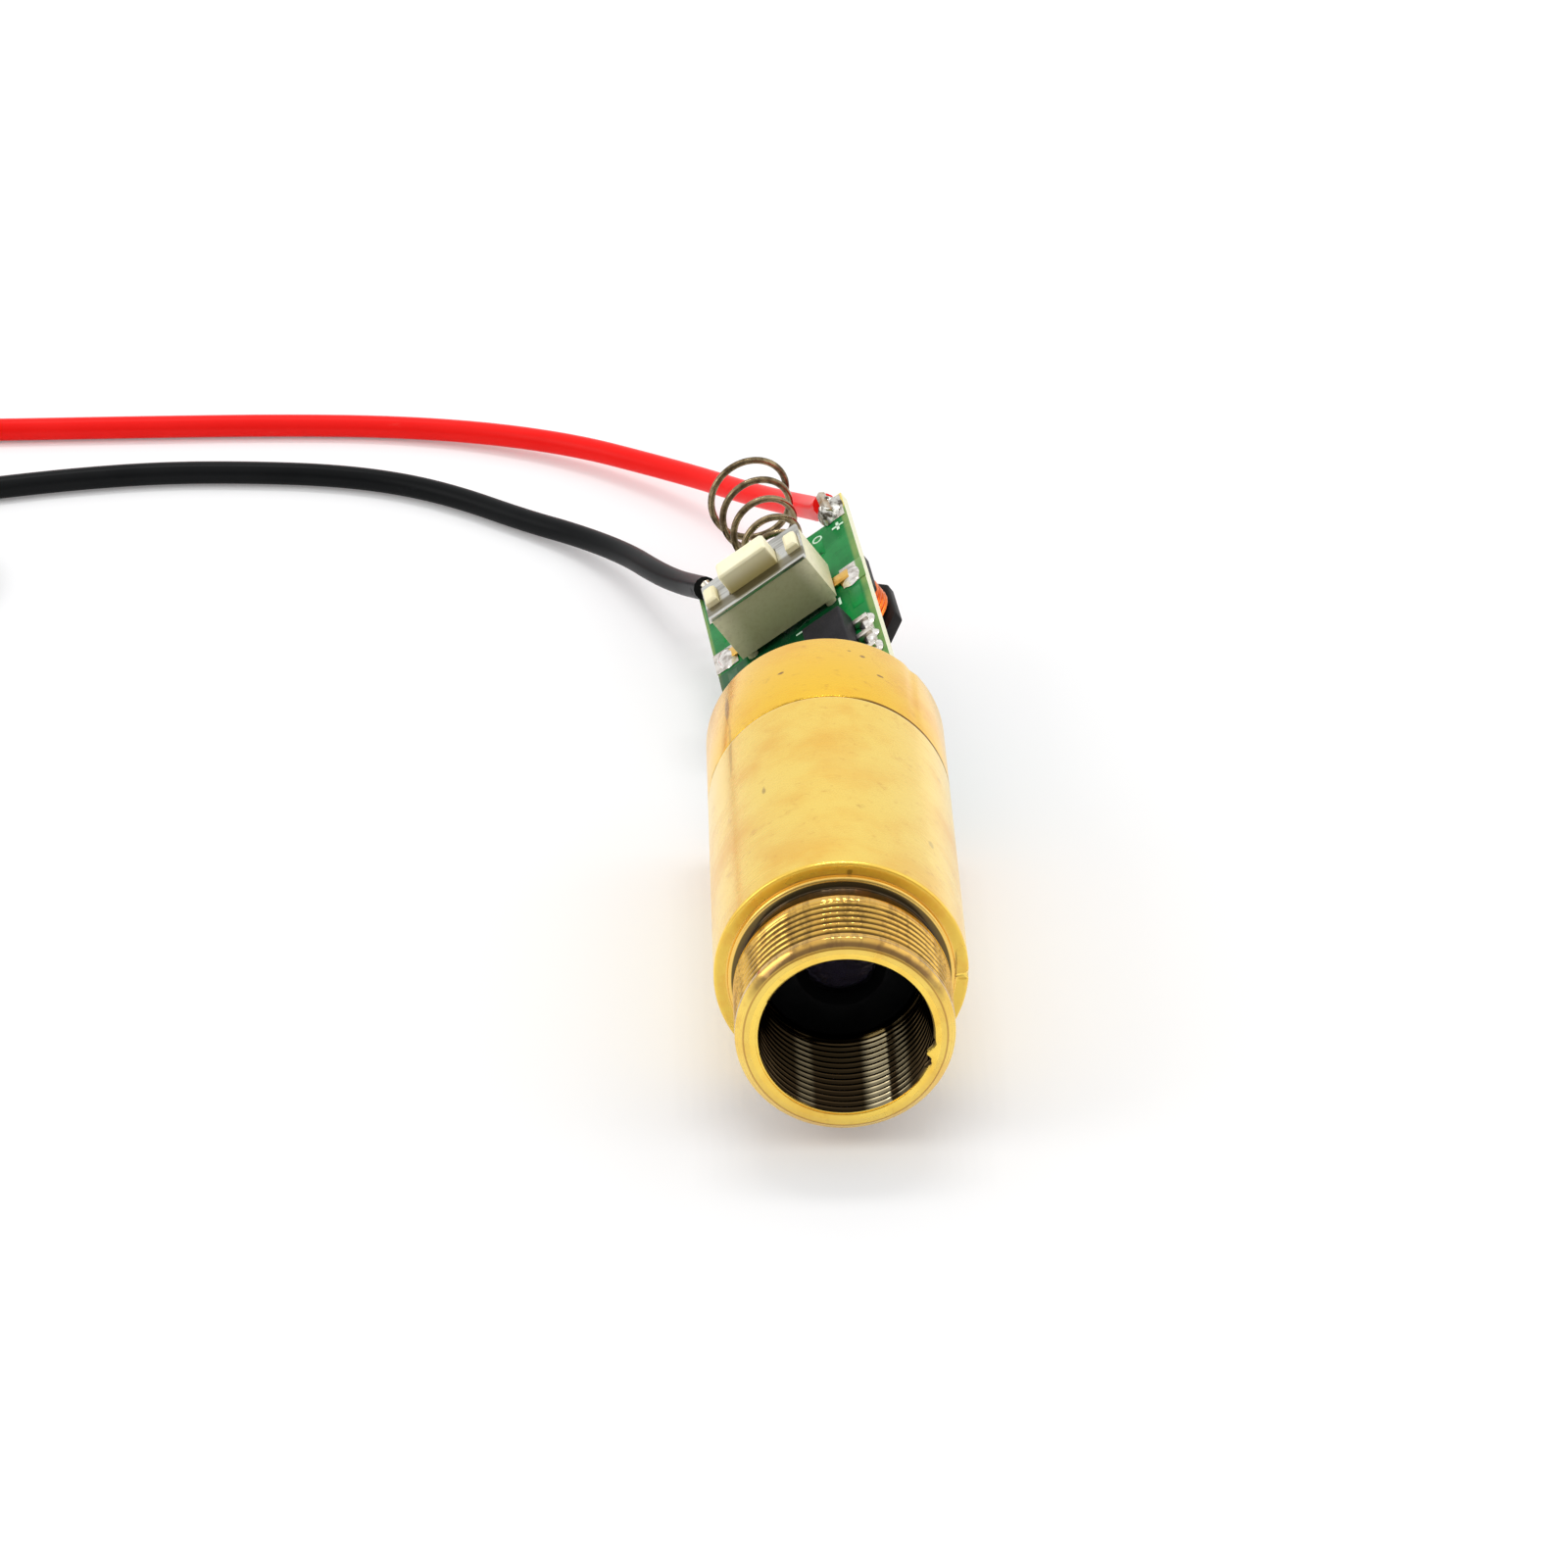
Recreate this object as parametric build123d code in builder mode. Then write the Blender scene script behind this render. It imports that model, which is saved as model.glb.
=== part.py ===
from build123d import *
import math
import os

os.makedirs("parts", exist_ok=True)

# A brass laser pointer core lying on its side. Millimetres. The optical axis is Y,
# the nose faces -Y, and the origin is the centre of the nose's front face.

# Brass barrel: a threaded nose, a plain body and a turned-down spigot at the back
barrel_diameter = 12.0
nose_length = 5.8
nose_thread_diameter = 10.24
nose_thread_length = 4.3
nose_chamfer = 0.4
thread_pitch = 0.5
thread_depth = 0.24
thread_crest_width = 0.18
relief_diameter = 9.7
relief_width = 0.9
shoulder_land_diameter = 10.66
body_length = 16.87
spigot_length = 2.8
edge_break = 0.1

# Bore behind the nose, and the seat of the laser diode
bore_diameter = 8.06
bore_depth = 6.5
cell_bore_diameter = 7.7
web_start = 17.0
web_thickness = 2.2
web_hole_diameter = 3.8
diode_seat_depth = 1.6
rear_bore_diameter = 7.4

# Rear collar, slipped over the spigot
collar_length = 6.29
collar_wall = 0.88
collar_fit = 0.02

# Lens cell, screwed down the bore with a spring behind it
lens_gap = 0.1
lens_cell_length = 4.4
lens_cell_fit = 0.03
lens_aperture_diameter = 3.4
lens_cell_front_wall = 0.9
lens_diameter = 5.4
lens_edge_thickness = 1.3
lens_crown = 0.85
lens_fit = 0.03
lens_ring_thickness = 0.8
lens_ring_hole_diameter = 4.0
spanner_slot_width = 0.8
spanner_slot_depth = 0.5
focus_spring_wire = 0.4
focus_spring_turns = 3.0

# Laser diode in its round metal can
diode_diameter = 5.6
diode_base_thickness = 1.2
diode_fit = 0.02
diode_cap_diameter = 3.55
diode_cap_height = 2.3
diode_cap_wall = 0.2
diode_window_diameter = 1.6
diode_window_thickness = 0.25
heat_sink_width = 1.4
heat_sink_depth = 0.9
heat_sink_height = 1.3
diode_pin_diameter = 0.45
diode_pin_circle = 2.0
pin_spread = 1.0
pin_lap = 2.4
pin_bend = 0.8

# Circuit board, held a little askew in the collar
board_roll = 35.3
board_lift = 1.7
board_yaw = 5.9
board_thickness = 0.6
board_top = 0.1
board_width = 9.48
board_front = 3.2
board_length = 19.9
board_front_chamfer = 0.5
tongue_width = 1.44
tongue_length = 2.2
tab_width = 2.3
tab_length = 2.1
pad_thickness = 0.05
via_diameter = 0.5
rear_via_across = 2.7
rear_via_setback = 0.9
front_via_across = -2.2
front_via_along = 9.6
side_via_across = -3.6
side_via_along = 5.2

# Push switch across the board
switch_centre = 13.6
switch_length = 6.0
switch_width = 3.5
switch_stand = 0.34
switch_height = 2.86
switch_wall = 0.5
switch_floor = 0.6
cover_thickness = 0.2
cover_overhang = 0.06
stake_length = 1.4
stake_width = 0.7
stake_height = 0.4
stake_inset = 0.45
stake_fit = 0.03
button_length = 3.0
button_width = 1.5
button_height = 1.2
button_corner = 0.2
button_edge = 0.12
stake_edge = 0.15
foot_inset = 0.4
foot_inset_along = 0.5
foot_radius = 0.3
button_flange = 0.35
button_flange_thickness = 0.4
button_foot_diameter = 1.1
button_fit = 0.04
button_travel = 0.25
dome_diameter = 2.4
dome_height = 0.35
dome_thickness = 0.08
dome_shoulder = 0.55
dome_rise = 0.8
terminal_width = 0.9
terminal_thickness = 0.15
terminal_reach = 3.9
terminal_root = 1.0

# Three-legged driver chip beside its copper
chip_length = 4.5
chip_width = 2.5
chip_thickness = 1.35
chip_across = 2.15
chip_along = 6.75
chip_draft = 5.0
lead_pitch = 1.5
lead_width = 0.42
lead_thickness = 0.35
lead_reach = 0.9
chip_tab_width = 1.7
chip_tab_reach = 0.55

# Wound inductor under the board
inductor_length = 6.0
inductor_width = 5.2
inductor_corner_along = 1.4
inductor_corner_across = 0.96
inductor_along = 14.4
inductor_across = 2.1
inductor_height = 3.0
inductor_flange = 0.65
inductor_core_diameter = 2.4
winding_wire = 0.4
winding_layers = 2

# Small ceramic parts under the board
ceramic_length = 1.6
ceramic_width = 0.8
resistor_thickness = 0.45
capacitor_thickness = 0.8
ceramic_end = 0.3
ceramic_rows = (4.6, 7.4)
resistor_across = -2.4
capacitor_across = 1.9

# Tapered battery spring around the board's centre tab
spring_wire = 0.35
spring_pitch = 1.75
spring_turns = 4.15
closed_pitch = 0.42
closed_turns = 1.15
spring_seat = 0.81
spring_seat_across = 0.113
spring_seat_above = -0.242
spring_seat_radius = 1.534
spring_seat_angle = 343.2
spring_slope = 0.0966
spring_drift_across = -0.068
spring_drift_above = 0.11

# Two thin hook-up leads and the bare ends of each
lead_wire_diameter = 1.3
conductor_diameter = 0.6
bare_tip_length = 4.0
coil_pitch = 1.35
coil_turns = 2
coil_mean_radius = 7.15
coil_lead_in = 5.0
red_lap_across = 3.9
red_lap_reach = 0.1
red_exit_across = 3.75
black_lap_across = -3.6
black_lap_setback = 1.9
black_exit_across = -3.7
exit_reach = 0.15
conductor_bend = 0.3

# Solder beads over what they hold
solder_film = 0.03
bead_waist = 0.72
bead_sides = 8
bead_crown = 0.35
pin_bead_radius = 0.7
pin_bead_height = 0.62
lead_bead_radius = 0.85
lead_bead_height = 0.78
spring_bead_radius = 0.6
spring_bead_height = 0.45
terminal_bead_radius = 0.65
terminal_bead_height = 0.3
leg_bead_radius = 0.38
leg_bead_height = 0.25
wire_sides = 6
spring_sides = 5
lead_sides = 10

# Sizes that follow from the ones above
barrel_radius = barrel_diameter / 2
seam = nose_length + body_length
collar_end = seam + collar_length
collar_bore_radius = barrel_radius - collar_wall
spigot_radius = collar_bore_radius - collar_fit
diode_seat = web_start + web_thickness
lens_setback = bore_depth + lens_gap
diode_back = diode_seat + diode_base_thickness
lens_cell_back = lens_setback + lens_cell_length
board_half = board_width / 2
bead_flat = math.cos(math.pi / bead_sides)
board_bottom = board_top - board_thickness
pad_top = board_top + pad_thickness
floor_height = -barrel_radius

board_plane = Plane((0, collar_end, 0)).rotated((board_yaw, board_lift, -board_roll), Intrinsic.ZXY)
across, along, above = board_plane.x_dir, board_plane.y_dir, board_plane.z_dir
board_axis = Axis(board_plane.origin, above)


def on_board(w, l, n):
    """Point at w across the board, l along it and n above its reference face."""
    return board_plane.from_local_coords(Vector(w, l, n))


def cross_section(l):
    """Plane across the board at l: x runs across it and y rises from it."""
    return Plane(on_board(0, l, 0), x_dir=across, z_dir=-along)


def long_section(w):
    """Plane along the board at w: x runs along it and y rises from it."""
    return Plane(on_board(w, 0, 0), x_dir=along, z_dir=across)


def upright(w, l, n):
    """Plane on the board at a spot, with its z rising from the board."""
    return Plane(on_board(w, l, n), x_dir=across, z_dir=above)


def crown_arc(rim, top):
    """Arc from a dome's rim up to its top, level where it meets the dome's axis."""
    reach, rise = rim[0] - top[0], top[1] - rim[1]
    curve = (reach**2 + rise**2) / (2 * rise)
    turn = math.asin(reach / curve) / 2
    middle = (top[0] + math.sin(turn) * curve, top[1] - curve + math.cos(turn) * curve)
    return ThreePointArc(rim, middle, top)


def save(piece, name):
    """Names a finished piece and writes its STEP file."""
    piece.part.label = name
    export_step(piece.part, f"parts/{name}.step")


# Barrel: one turned profile, with the nose's thread as ring grooves of its pitch
crest = nose_thread_diameter / 2
relief = relief_diameter / 2
relief_start = nose_thread_length + 0.3 * nose_chamfer
relief_end = relief_start + relief_width
root_rise = shoulder_land_diameter / 2 - relief
thread_end = nose_thread_length - nose_chamfer / 2
thread_count = math.floor((thread_end - nose_chamfer - thread_crest_width) / thread_pitch)
groove_width = thread_pitch - thread_crest_width
thread_line = []
for number in range(thread_count):
    groove = nose_chamfer + thread_crest_width + number * thread_pitch
    thread_line += [
        (crest, groove),
        (crest - thread_depth, groove + groove_width / 2),
        (crest, groove + groove_width),
    ]
with BuildPart() as barrel:
    with BuildSketch(Plane.XY):
        with BuildLine():
            nose = Polyline(
                (bore_diameter / 2, 0),
                (crest - nose_chamfer, 0),
                (crest, nose_chamfer),
                *thread_line,
                (crest, thread_end),
                (relief, relief_start),
                (relief, relief_end),
            )
            Polyline(
                nose @ 1,
                (relief + root_rise, nose_length),
                (barrel_radius - edge_break, nose_length),
                (barrel_radius, nose_length + edge_break),
                (barrel_radius, seam - edge_break / 2),
                (barrel_radius - edge_break / 2, seam),
                (spigot_radius, seam),
                (spigot_radius, seam + spigot_length),
                (rear_bore_diameter / 2, seam + spigot_length),
                (rear_bore_diameter / 2, diode_seat + diode_seat_depth),
                (diode_diameter / 2 + diode_fit, diode_seat + diode_seat_depth),
                (diode_diameter / 2 + diode_fit, diode_seat),
                (web_hole_diameter / 2, diode_seat),
                (web_hole_diameter / 2, web_start),
                (cell_bore_diameter / 2, web_start),
                (cell_bore_diameter / 2, bore_depth),
                (bore_diameter / 2, bore_depth),
                nose @ 0,
            )
        make_face()
    revolve(axis=Axis.Y)
save(barrel, "barrel")

# Rear collar: a plain ring with broken edges
with BuildPart() as rear_collar:
    with BuildSketch(Plane.XY):
        with BuildLine():
            Polyline(
                (collar_bore_radius, seam),
                (barrel_radius - edge_break / 2, seam),
                (barrel_radius, seam + edge_break / 2),
                (barrel_radius, collar_end - edge_break),
                (barrel_radius - edge_break, collar_end),
                (collar_bore_radius + edge_break, collar_end),
                (collar_bore_radius, collar_end - edge_break),
                close=True,
            )
        make_face()
    revolve(axis=Axis.Y)
save(rear_collar, "rear_collar")

# Lens cell: a short black cup, open at the back, slotted for a spanner in front
cell_radius = cell_bore_diameter / 2 - lens_cell_fit
lens_seat = lens_setback + lens_cell_front_wall
pocket_radius = lens_diameter / 2 + lens_fit
with BuildPart() as lens_cell:
    with BuildSketch(Plane.XY):
        with BuildLine():
            Polyline(
                (lens_aperture_diameter / 2 + lens_cell_front_wall / 2, lens_setback),
                (cell_radius - edge_break, lens_setback),
                (cell_radius, lens_setback + edge_break),
                (cell_radius, lens_cell_back),
                (pocket_radius, lens_cell_back),
                (pocket_radius, lens_seat),
                (lens_aperture_diameter / 2, lens_seat),
                (lens_aperture_diameter / 2, lens_setback + lens_cell_front_wall / 2),
                close=True,
            )
        make_face()
    revolve(axis=Axis.Y)
    with BuildSketch(Plane((0, lens_setback, 0), x_dir=(1, 0, 0), z_dir=(0, 1, 0))):
        with Locations((cell_radius, 0), (-cell_radius, 0)):
            Rectangle(lens_cell_front_wall * 3, spanner_slot_width)
    extrude(amount=spanner_slot_depth, mode=Mode.SUBTRACT)
save(lens_cell, "lens_cell")

# Collimating lens: flat front, domed back
lens_edge = lens_seat + lens_edge_thickness
lens_crown_radius = lens_ring_hole_diameter / 2 - lens_fit
with BuildPart() as collimating_lens:
    with BuildSketch(Plane.XY):
        with BuildLine():
            rim = Polyline(
                (0, lens_seat),
                (lens_diameter / 2, lens_seat),
                (lens_diameter / 2, lens_edge),
                (lens_crown_radius, lens_edge),
            )
            crown = crown_arc((lens_crown_radius, lens_edge), (0, lens_edge + lens_crown))
            Line(crown @ 1, rim @ 0)
        make_face()
    revolve(axis=Axis.Y)
save(collimating_lens, "collimating_lens")

# Ring that holds the lens against its seat
with BuildPart() as lens_ring:
    with BuildSketch(Plane((0, lens_edge, 0), x_dir=(1, 0, 0), z_dir=(0, 1, 0))):
        Circle(pocket_radius - lens_fit)
        Circle(lens_ring_hole_diameter / 2, mode=Mode.SUBTRACT)
    extrude(amount=lens_ring_thickness)
save(lens_ring, "lens_ring")

# Focus spring between the lens cell and the web
focus_gap = web_start - lens_cell_back
focus_radius = (pocket_radius + cell_bore_diameter / 2) / 2
focus_height = focus_gap - focus_spring_wire
focus_start = lens_cell_back + focus_spring_wire / 2
with BuildPart() as focus_spring:
    with BuildLine() as coil_line:
        Helix(
            pitch=focus_height / focus_spring_turns,
            height=focus_height,
            radius=focus_radius,
            center=(0, focus_start, 0),
            direction=(0, 1, 0),
        )
    with BuildSketch(Plane(coil_line.line @ 0, z_dir=coil_line.line % 0)):
        RegularPolygon(focus_spring_wire / 2, spring_sides)
    sweep(path=coil_line.line, is_frenet=True)
save(focus_spring, "focus_spring")

# Laser diode: base disc with a heat sink block, cap, window and three pins
diode_plane = Plane((0, diode_seat, 0), x_dir=(1, 0, 0), z_dir=(0, -1, 0))
with BuildPart() as diode_base:
    with BuildSketch(diode_plane):
        Circle(diode_diameter / 2)
    extrude(amount=-diode_base_thickness)
    with BuildSketch(diode_plane):
        with Locations((0, -heat_sink_depth / 2 - diode_pin_diameter / 2)):
            Rectangle(heat_sink_width, heat_sink_depth)
    extrude(amount=heat_sink_height)
save(diode_base, "diode_base")

with BuildPart() as diode_cap:
    with BuildSketch(diode_plane):
        Circle(diode_cap_diameter / 2)
    extrude(amount=diode_cap_height)
    with BuildSketch(diode_plane):
        Circle(diode_cap_diameter / 2 - diode_cap_wall)
    extrude(amount=diode_cap_height - diode_cap_wall, mode=Mode.SUBTRACT)
    with BuildSketch(diode_plane.offset(diode_cap_height)):
        Circle(diode_window_diameter / 2)
    extrude(amount=-diode_cap_wall, mode=Mode.SUBTRACT)
save(diode_cap, "diode_cap")

with BuildPart() as diode_window:
    with BuildSketch(diode_plane.offset(diode_cap_height - diode_cap_wall)):
        Circle(diode_window_diameter / 2 + diode_cap_wall)
    extrude(amount=-diode_window_thickness)
save(diode_window, "diode_window")

# Pins: straight out of the base, then bent along the board, two above and one below
pin_radius = diode_pin_diameter / 2
pin_circle_radius = diode_pin_circle / 2
pin_top = pad_top + solder_film + pin_radius
pin_under = board_bottom - pad_thickness - solder_film - pin_radius
pin_spots = ((150, -pin_spread, pin_top), (30, pin_spread, pin_top), (270, 0, pin_under))
with BuildPart() as diode_pins:
    for angle, w, n in pin_spots:
        turn = math.radians(angle + board_roll)
        start = Vector(math.cos(turn) * pin_circle_radius, diode_back, math.sin(turn) * pin_circle_radius)
        with BuildLine() as pin_line:
            FilletPolyline(
                start,
                start + Vector(0, spigot_length, 0),
                on_board(w, -board_front + pin_lap / 4, n),
                on_board(w, -board_front + pin_lap, n),
                radius=pin_bend,
            )
        with BuildSketch(Plane(start, z_dir=(0, 1, 0))):
            RegularPolygon(pin_radius, wire_sides)
        sweep(path=pin_line.line)
save(diode_pins, "diode_pins")

# Circuit board: long plate with two corner tongues and a centre tab at the back
tongue_inner = board_half - tongue_width
board_end = board_length + tongue_length
via_spots = (
    (rear_via_across, board_length - rear_via_setback),
    (-rear_via_across, board_length - rear_via_setback),
    (front_via_across, front_via_along),
    (side_via_across, side_via_along),
)
with BuildPart() as circuit_board:
    with BuildSketch(board_plane.offset(board_bottom)):
        with BuildLine():
            Polyline(
                (0, -board_front),
                (board_half - board_front_chamfer, -board_front),
                (board_half, -board_front + board_front_chamfer),
                (board_half, board_end),
                (tongue_inner, board_end),
                (tongue_inner, board_length),
                (tab_width / 2, board_length),
                (tab_width / 2, board_length + tab_length),
                (0, board_length + tab_length),
            )
            mirror(about=Plane.YZ)
        make_face()
        with Locations(*via_spots):
            Circle(via_diameter / 2, mode=Mode.SUBTRACT)
    extrude(amount=board_thickness)
save(circuit_board, "circuit_board")

# Copper pads, tinned: (across, along, width, length) on the top face, then underneath
pin_bead_along = -board_front + pin_lap * 0.6
chip_edge = chip_across + chip_width / 2
switch_pad_across = (terminal_reach + board_half - 0.2) / 2 - 0.15
tongue_middle = (tongue_inner + board_half) / 2
top_pads = (
    (-pin_spread, pin_bead_along, 1.2, 2.2),
    (pin_spread, pin_bead_along, 1.2, 2.2),
    (switch_pad_across, switch_centre, 1.4, 2.0),
    (-switch_pad_across, switch_centre, 1.4, 2.0),
    (tongue_middle, board_length + 0.95, 1.2, 2.2),
    (-tongue_middle + 0.3, board_length - 0.9, 1.5, 2.2),
    (0, board_length + 0.9, 1.9, 2.2),
    (chip_edge + lead_reach * 0.7, chip_along, 0.75, 2 * lead_pitch + 0.9),
    (chip_across - chip_width / 2 - 0.1, chip_along, 1.2, chip_tab_width + 0.3),
)
under_pads = ((0, pin_bead_along, 1.2, 2.2),)
with BuildPart() as board_pads:
    for w, l, width, length in top_pads:
        with BuildSketch(board_plane.offset(board_top)):
            with Locations((w, l)):
                Rectangle(width, length)
        extrude(amount=pad_thickness)
    for w, l, width, length in under_pads:
        with BuildSketch(board_plane.offset(board_bottom)):
            with Locations((w, l)):
                Rectangle(width, length)
        extrude(amount=-pad_thickness)
save(board_pads, "board_pads")

# Push switch housing: a box on four short feet, open on top, with four heat-staked posts
switch_bottom = board_top + switch_stand
switch_top = switch_bottom + switch_height
cover_top = switch_top + cover_thickness
stake_across = switch_length / 2 - stake_inset
stake_spots = ((stake_across, switch_centre), (-stake_across, switch_centre))
flange_length = button_length + 2 * button_flange
flange_width = button_width + 2 * button_flange
with BuildPart() as switch_housing:
    with BuildSketch(board_plane.offset(switch_bottom)):
        with Locations((0, switch_centre)):
            Rectangle(switch_length, switch_width)
    extrude(amount=switch_height)
    with BuildSketch(board_plane.offset(switch_top)):
        with Locations((0, switch_centre)):
            Rectangle(flange_length + 2 * button_fit, flange_width + 2 * button_fit)
    extrude(amount=-(switch_height - switch_floor), mode=Mode.SUBTRACT)
    with BuildSketch(board_plane.offset(board_top)):
        with Locations((0, switch_centre)):
            with GridLocations(switch_length - 2 * foot_inset_along, switch_width - 2 * foot_inset, 2, 2):
                Circle(foot_radius)
    extrude(amount=switch_stand)
    with BuildSketch(board_plane.offset(switch_top)):
        with Locations(*stake_spots):
            Rectangle(stake_width, stake_length)
    extrude(amount=cover_thickness + stake_height)
    stake_ends = switch_housing.faces().filter_by(board_plane).group_by(board_axis)[-1]
    chamfer(stake_ends.edges(), length=stake_edge)
save(switch_housing, "switch_housing")

# Steel cover plate over the housing
with BuildPart() as switch_cover:
    with BuildSketch(board_plane.offset(switch_top)):
        with Locations((0, switch_centre)):
            RectangleRounded(switch_length + 2 * cover_overhang, switch_width + 2 * cover_overhang, 0.15)
            Rectangle(button_length + 2 * button_fit, button_width + 2 * button_fit, mode=Mode.SUBTRACT)
        with Locations(*stake_spots):
            Rectangle(stake_width + 2 * stake_fit, stake_length + 2 * stake_fit, mode=Mode.SUBTRACT)
    extrude(amount=cover_thickness)
save(switch_cover, "switch_cover")

# Button: a flanged stem with a small foot over the snap dome
flange_top = switch_top - button_fit
flange_bottom = flange_top - button_flange_thickness
dome_top = switch_bottom + switch_floor + dome_height + dome_thickness
foot_bottom = dome_top + button_travel + button_fit
with BuildPart() as switch_button:
    with BuildSketch(board_plane.offset(flange_bottom)):
        with Locations((0, switch_centre)):
            Rectangle(flange_length, flange_width)
    extrude(amount=button_flange_thickness)
    with BuildSketch(board_plane.offset(flange_top)):
        with Locations((0, switch_centre)):
            RectangleRounded(button_length, button_width, button_corner)
    extrude(amount=cover_top + button_height - flange_top)
    button_top = switch_button.faces().filter_by(board_plane).sort_by(board_axis)[-1]
    chamfer(button_top.edges(), length=button_edge)
    with BuildSketch(board_plane.offset(flange_bottom)):
        with Locations((0, switch_centre)):
            Circle(button_foot_diameter / 2)
    extrude(amount=-(flange_bottom - foot_bottom))
save(switch_button, "switch_button")

# Snap dome on the housing's floor
dome_floor = switch_bottom + switch_floor
dome_radius = dome_diameter / 2
shoulder = dome_radius * dome_shoulder
shoulder_level = dome_floor + dome_height * dome_rise
with BuildPart() as switch_dome:
    with BuildSketch(long_section(0)):
        with BuildLine():
            Polyline(
                (switch_centre + dome_radius, dome_floor),
                (switch_centre + shoulder, shoulder_level + dome_thickness),
                (switch_centre, dome_floor + dome_height + dome_thickness),
                (switch_centre, dome_floor + dome_height),
                (switch_centre + shoulder, shoulder_level),
                (switch_centre + dome_radius - dome_thickness, dome_floor),
                close=True,
            )
        make_face()
    revolve(axis=Axis(on_board(0, switch_centre, 0), above))
save(switch_dome, "switch_dome")

# Switch terminals: flat strips from under the housing out onto their pads
riser = switch_length / 2 - terminal_root
with BuildPart() as switch_terminals:
    with BuildSketch(cross_section(switch_centre)):
        with BuildLine():
            Polyline(
                (riser, switch_bottom),
                (riser, pad_top),
                (terminal_reach, pad_top),
                (terminal_reach, pad_top + terminal_thickness),
                (riser + terminal_thickness, pad_top + terminal_thickness),
                (riser + terminal_thickness, switch_bottom),
                close=True,
            )
        make_face()
        mirror(about=Plane.YZ)
    extrude(amount=terminal_width / 2, both=True)
save(switch_terminals, "switch_terminals")

# Driver chip: moulded body with drafted sides, a tab on one side and three legs opposite
chip_bottom = pad_top
chip_parting = chip_bottom + lead_thickness
with BuildPart() as driver_chip:
    with BuildSketch(board_plane.offset(chip_parting)):
        with Locations((chip_across, chip_along)):
            Rectangle(chip_width, chip_length)
    extrude(amount=chip_thickness - lead_thickness, taper=chip_draft)
    with BuildSketch(board_plane.offset(chip_parting)):
        with Locations((chip_across, chip_along)):
            Rectangle(chip_width, chip_length)
    extrude(amount=-lead_thickness, taper=chip_draft)
save(driver_chip, "driver_chip")

with BuildPart() as chip_legs:
    with BuildSketch(board_plane.offset(chip_bottom)):
        with Locations((chip_edge + lead_reach / 2, chip_along)):
            with GridLocations(0, lead_pitch, 1, 3):
                Rectangle(lead_reach, lead_width)
        with Locations((chip_across - chip_width / 2 - chip_tab_reach / 2, chip_along)):
            Rectangle(chip_tab_reach, chip_tab_width)
    extrude(amount=lead_thickness)
save(chip_legs, "chip_legs")

# Inductor: an eight-sided drum with two flanges, and its winding between them
inductor_bottom = board_bottom - inductor_height
half_along, half_across = inductor_length / 2, inductor_width / 2
drum_outline = (
    (half_across, half_along - inductor_corner_along),
    (half_across - inductor_corner_across, half_along),
    (-half_across + inductor_corner_across, half_along),
    (-half_across, half_along - inductor_corner_along),
    (-half_across, -half_along + inductor_corner_along),
    (-half_across + inductor_corner_across, -half_along),
    (half_across - inductor_corner_across, -half_along),
    (half_across, -half_along + inductor_corner_along),
)
window_height = inductor_height - 2 * inductor_flange
with BuildPart() as inductor_core:
    for flange_plane in (board_bottom, board_bottom - inductor_flange - window_height):
        with BuildSketch(board_plane.offset(flange_plane)):
            with Locations((inductor_across, inductor_along)):
                Polygon(*drum_outline, align=None)
        extrude(amount=-inductor_flange)
    with BuildSketch(board_plane.offset(board_bottom - inductor_flange)):
        with Locations((inductor_across, inductor_along)):
            Circle(inductor_core_diameter / 2)
    extrude(amount=-window_height)
save(inductor_core, "inductor_core")

# Winding: layers of turns, its outside rounded like the wires it is made of
winding_rows = int(window_height / winding_wire)
winding_step = window_height / winding_rows
winding_radius = inductor_core_diameter / 2 + winding_layers * winding_wire
winding_axis = Axis(on_board(inductor_across, inductor_along, 0), above)
with BuildPart() as inductor_winding:
    with BuildSketch(long_section(inductor_across)):
        with BuildLine():
            row = board_bottom - inductor_flange
            inner = inductor_along + inductor_core_diameter / 2
            outer = inductor_along + winding_radius
            top_edge = Line((inner, row), (outer, row))
            for turn in range(winding_rows):
                ridge = Polyline(
                    (outer, row),
                    (outer + winding_wire / 2, row - winding_step / 2),
                    (outer, row - winding_step),
                )
                row -= winding_step
            Polyline(ridge @ 1, (inner, row), top_edge @ 0)
        make_face()
    revolve(axis=winding_axis)
save(inductor_winding, "inductor_winding")

# Ceramic resistors and capacitors under the board, with their metal ends
ceramic_body = ceramic_length - 2 * ceramic_end
ceramic_middle = (ceramic_length - ceramic_end) / 2


def ceramic_row(spot_across, thickness):
    """One row of ceramic bodies hung under the board, as a finished part."""
    with BuildPart() as row_part:
        with BuildSketch(board_plane.offset(board_bottom)):
            for spot_along in ceramic_rows:
                with Locations((spot_across, spot_along)):
                    Rectangle(ceramic_body, ceramic_width)
        extrude(amount=-thickness)
    return row_part


chip_resistors = ceramic_row(resistor_across, resistor_thickness)
save(chip_resistors, "chip_resistors")
chip_capacitors = ceramic_row(capacitor_across, capacitor_thickness)
save(chip_capacitors, "chip_capacitors")

with BuildPart() as ceramic_ends:
    for spot_across, thickness in (
        (resistor_across, resistor_thickness),
        (capacitor_across, capacitor_thickness),
    ):
        with BuildSketch(board_plane.offset(board_bottom)):
            for spot_along in ceramic_rows:
                with Locations((spot_across, spot_along)):
                    with GridLocations(2 * ceramic_middle, 0, 2, 1):
                        Rectangle(ceramic_end, ceramic_width)
        extrude(amount=-thickness)
save(ceramic_ends, "ceramic_ends")

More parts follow.
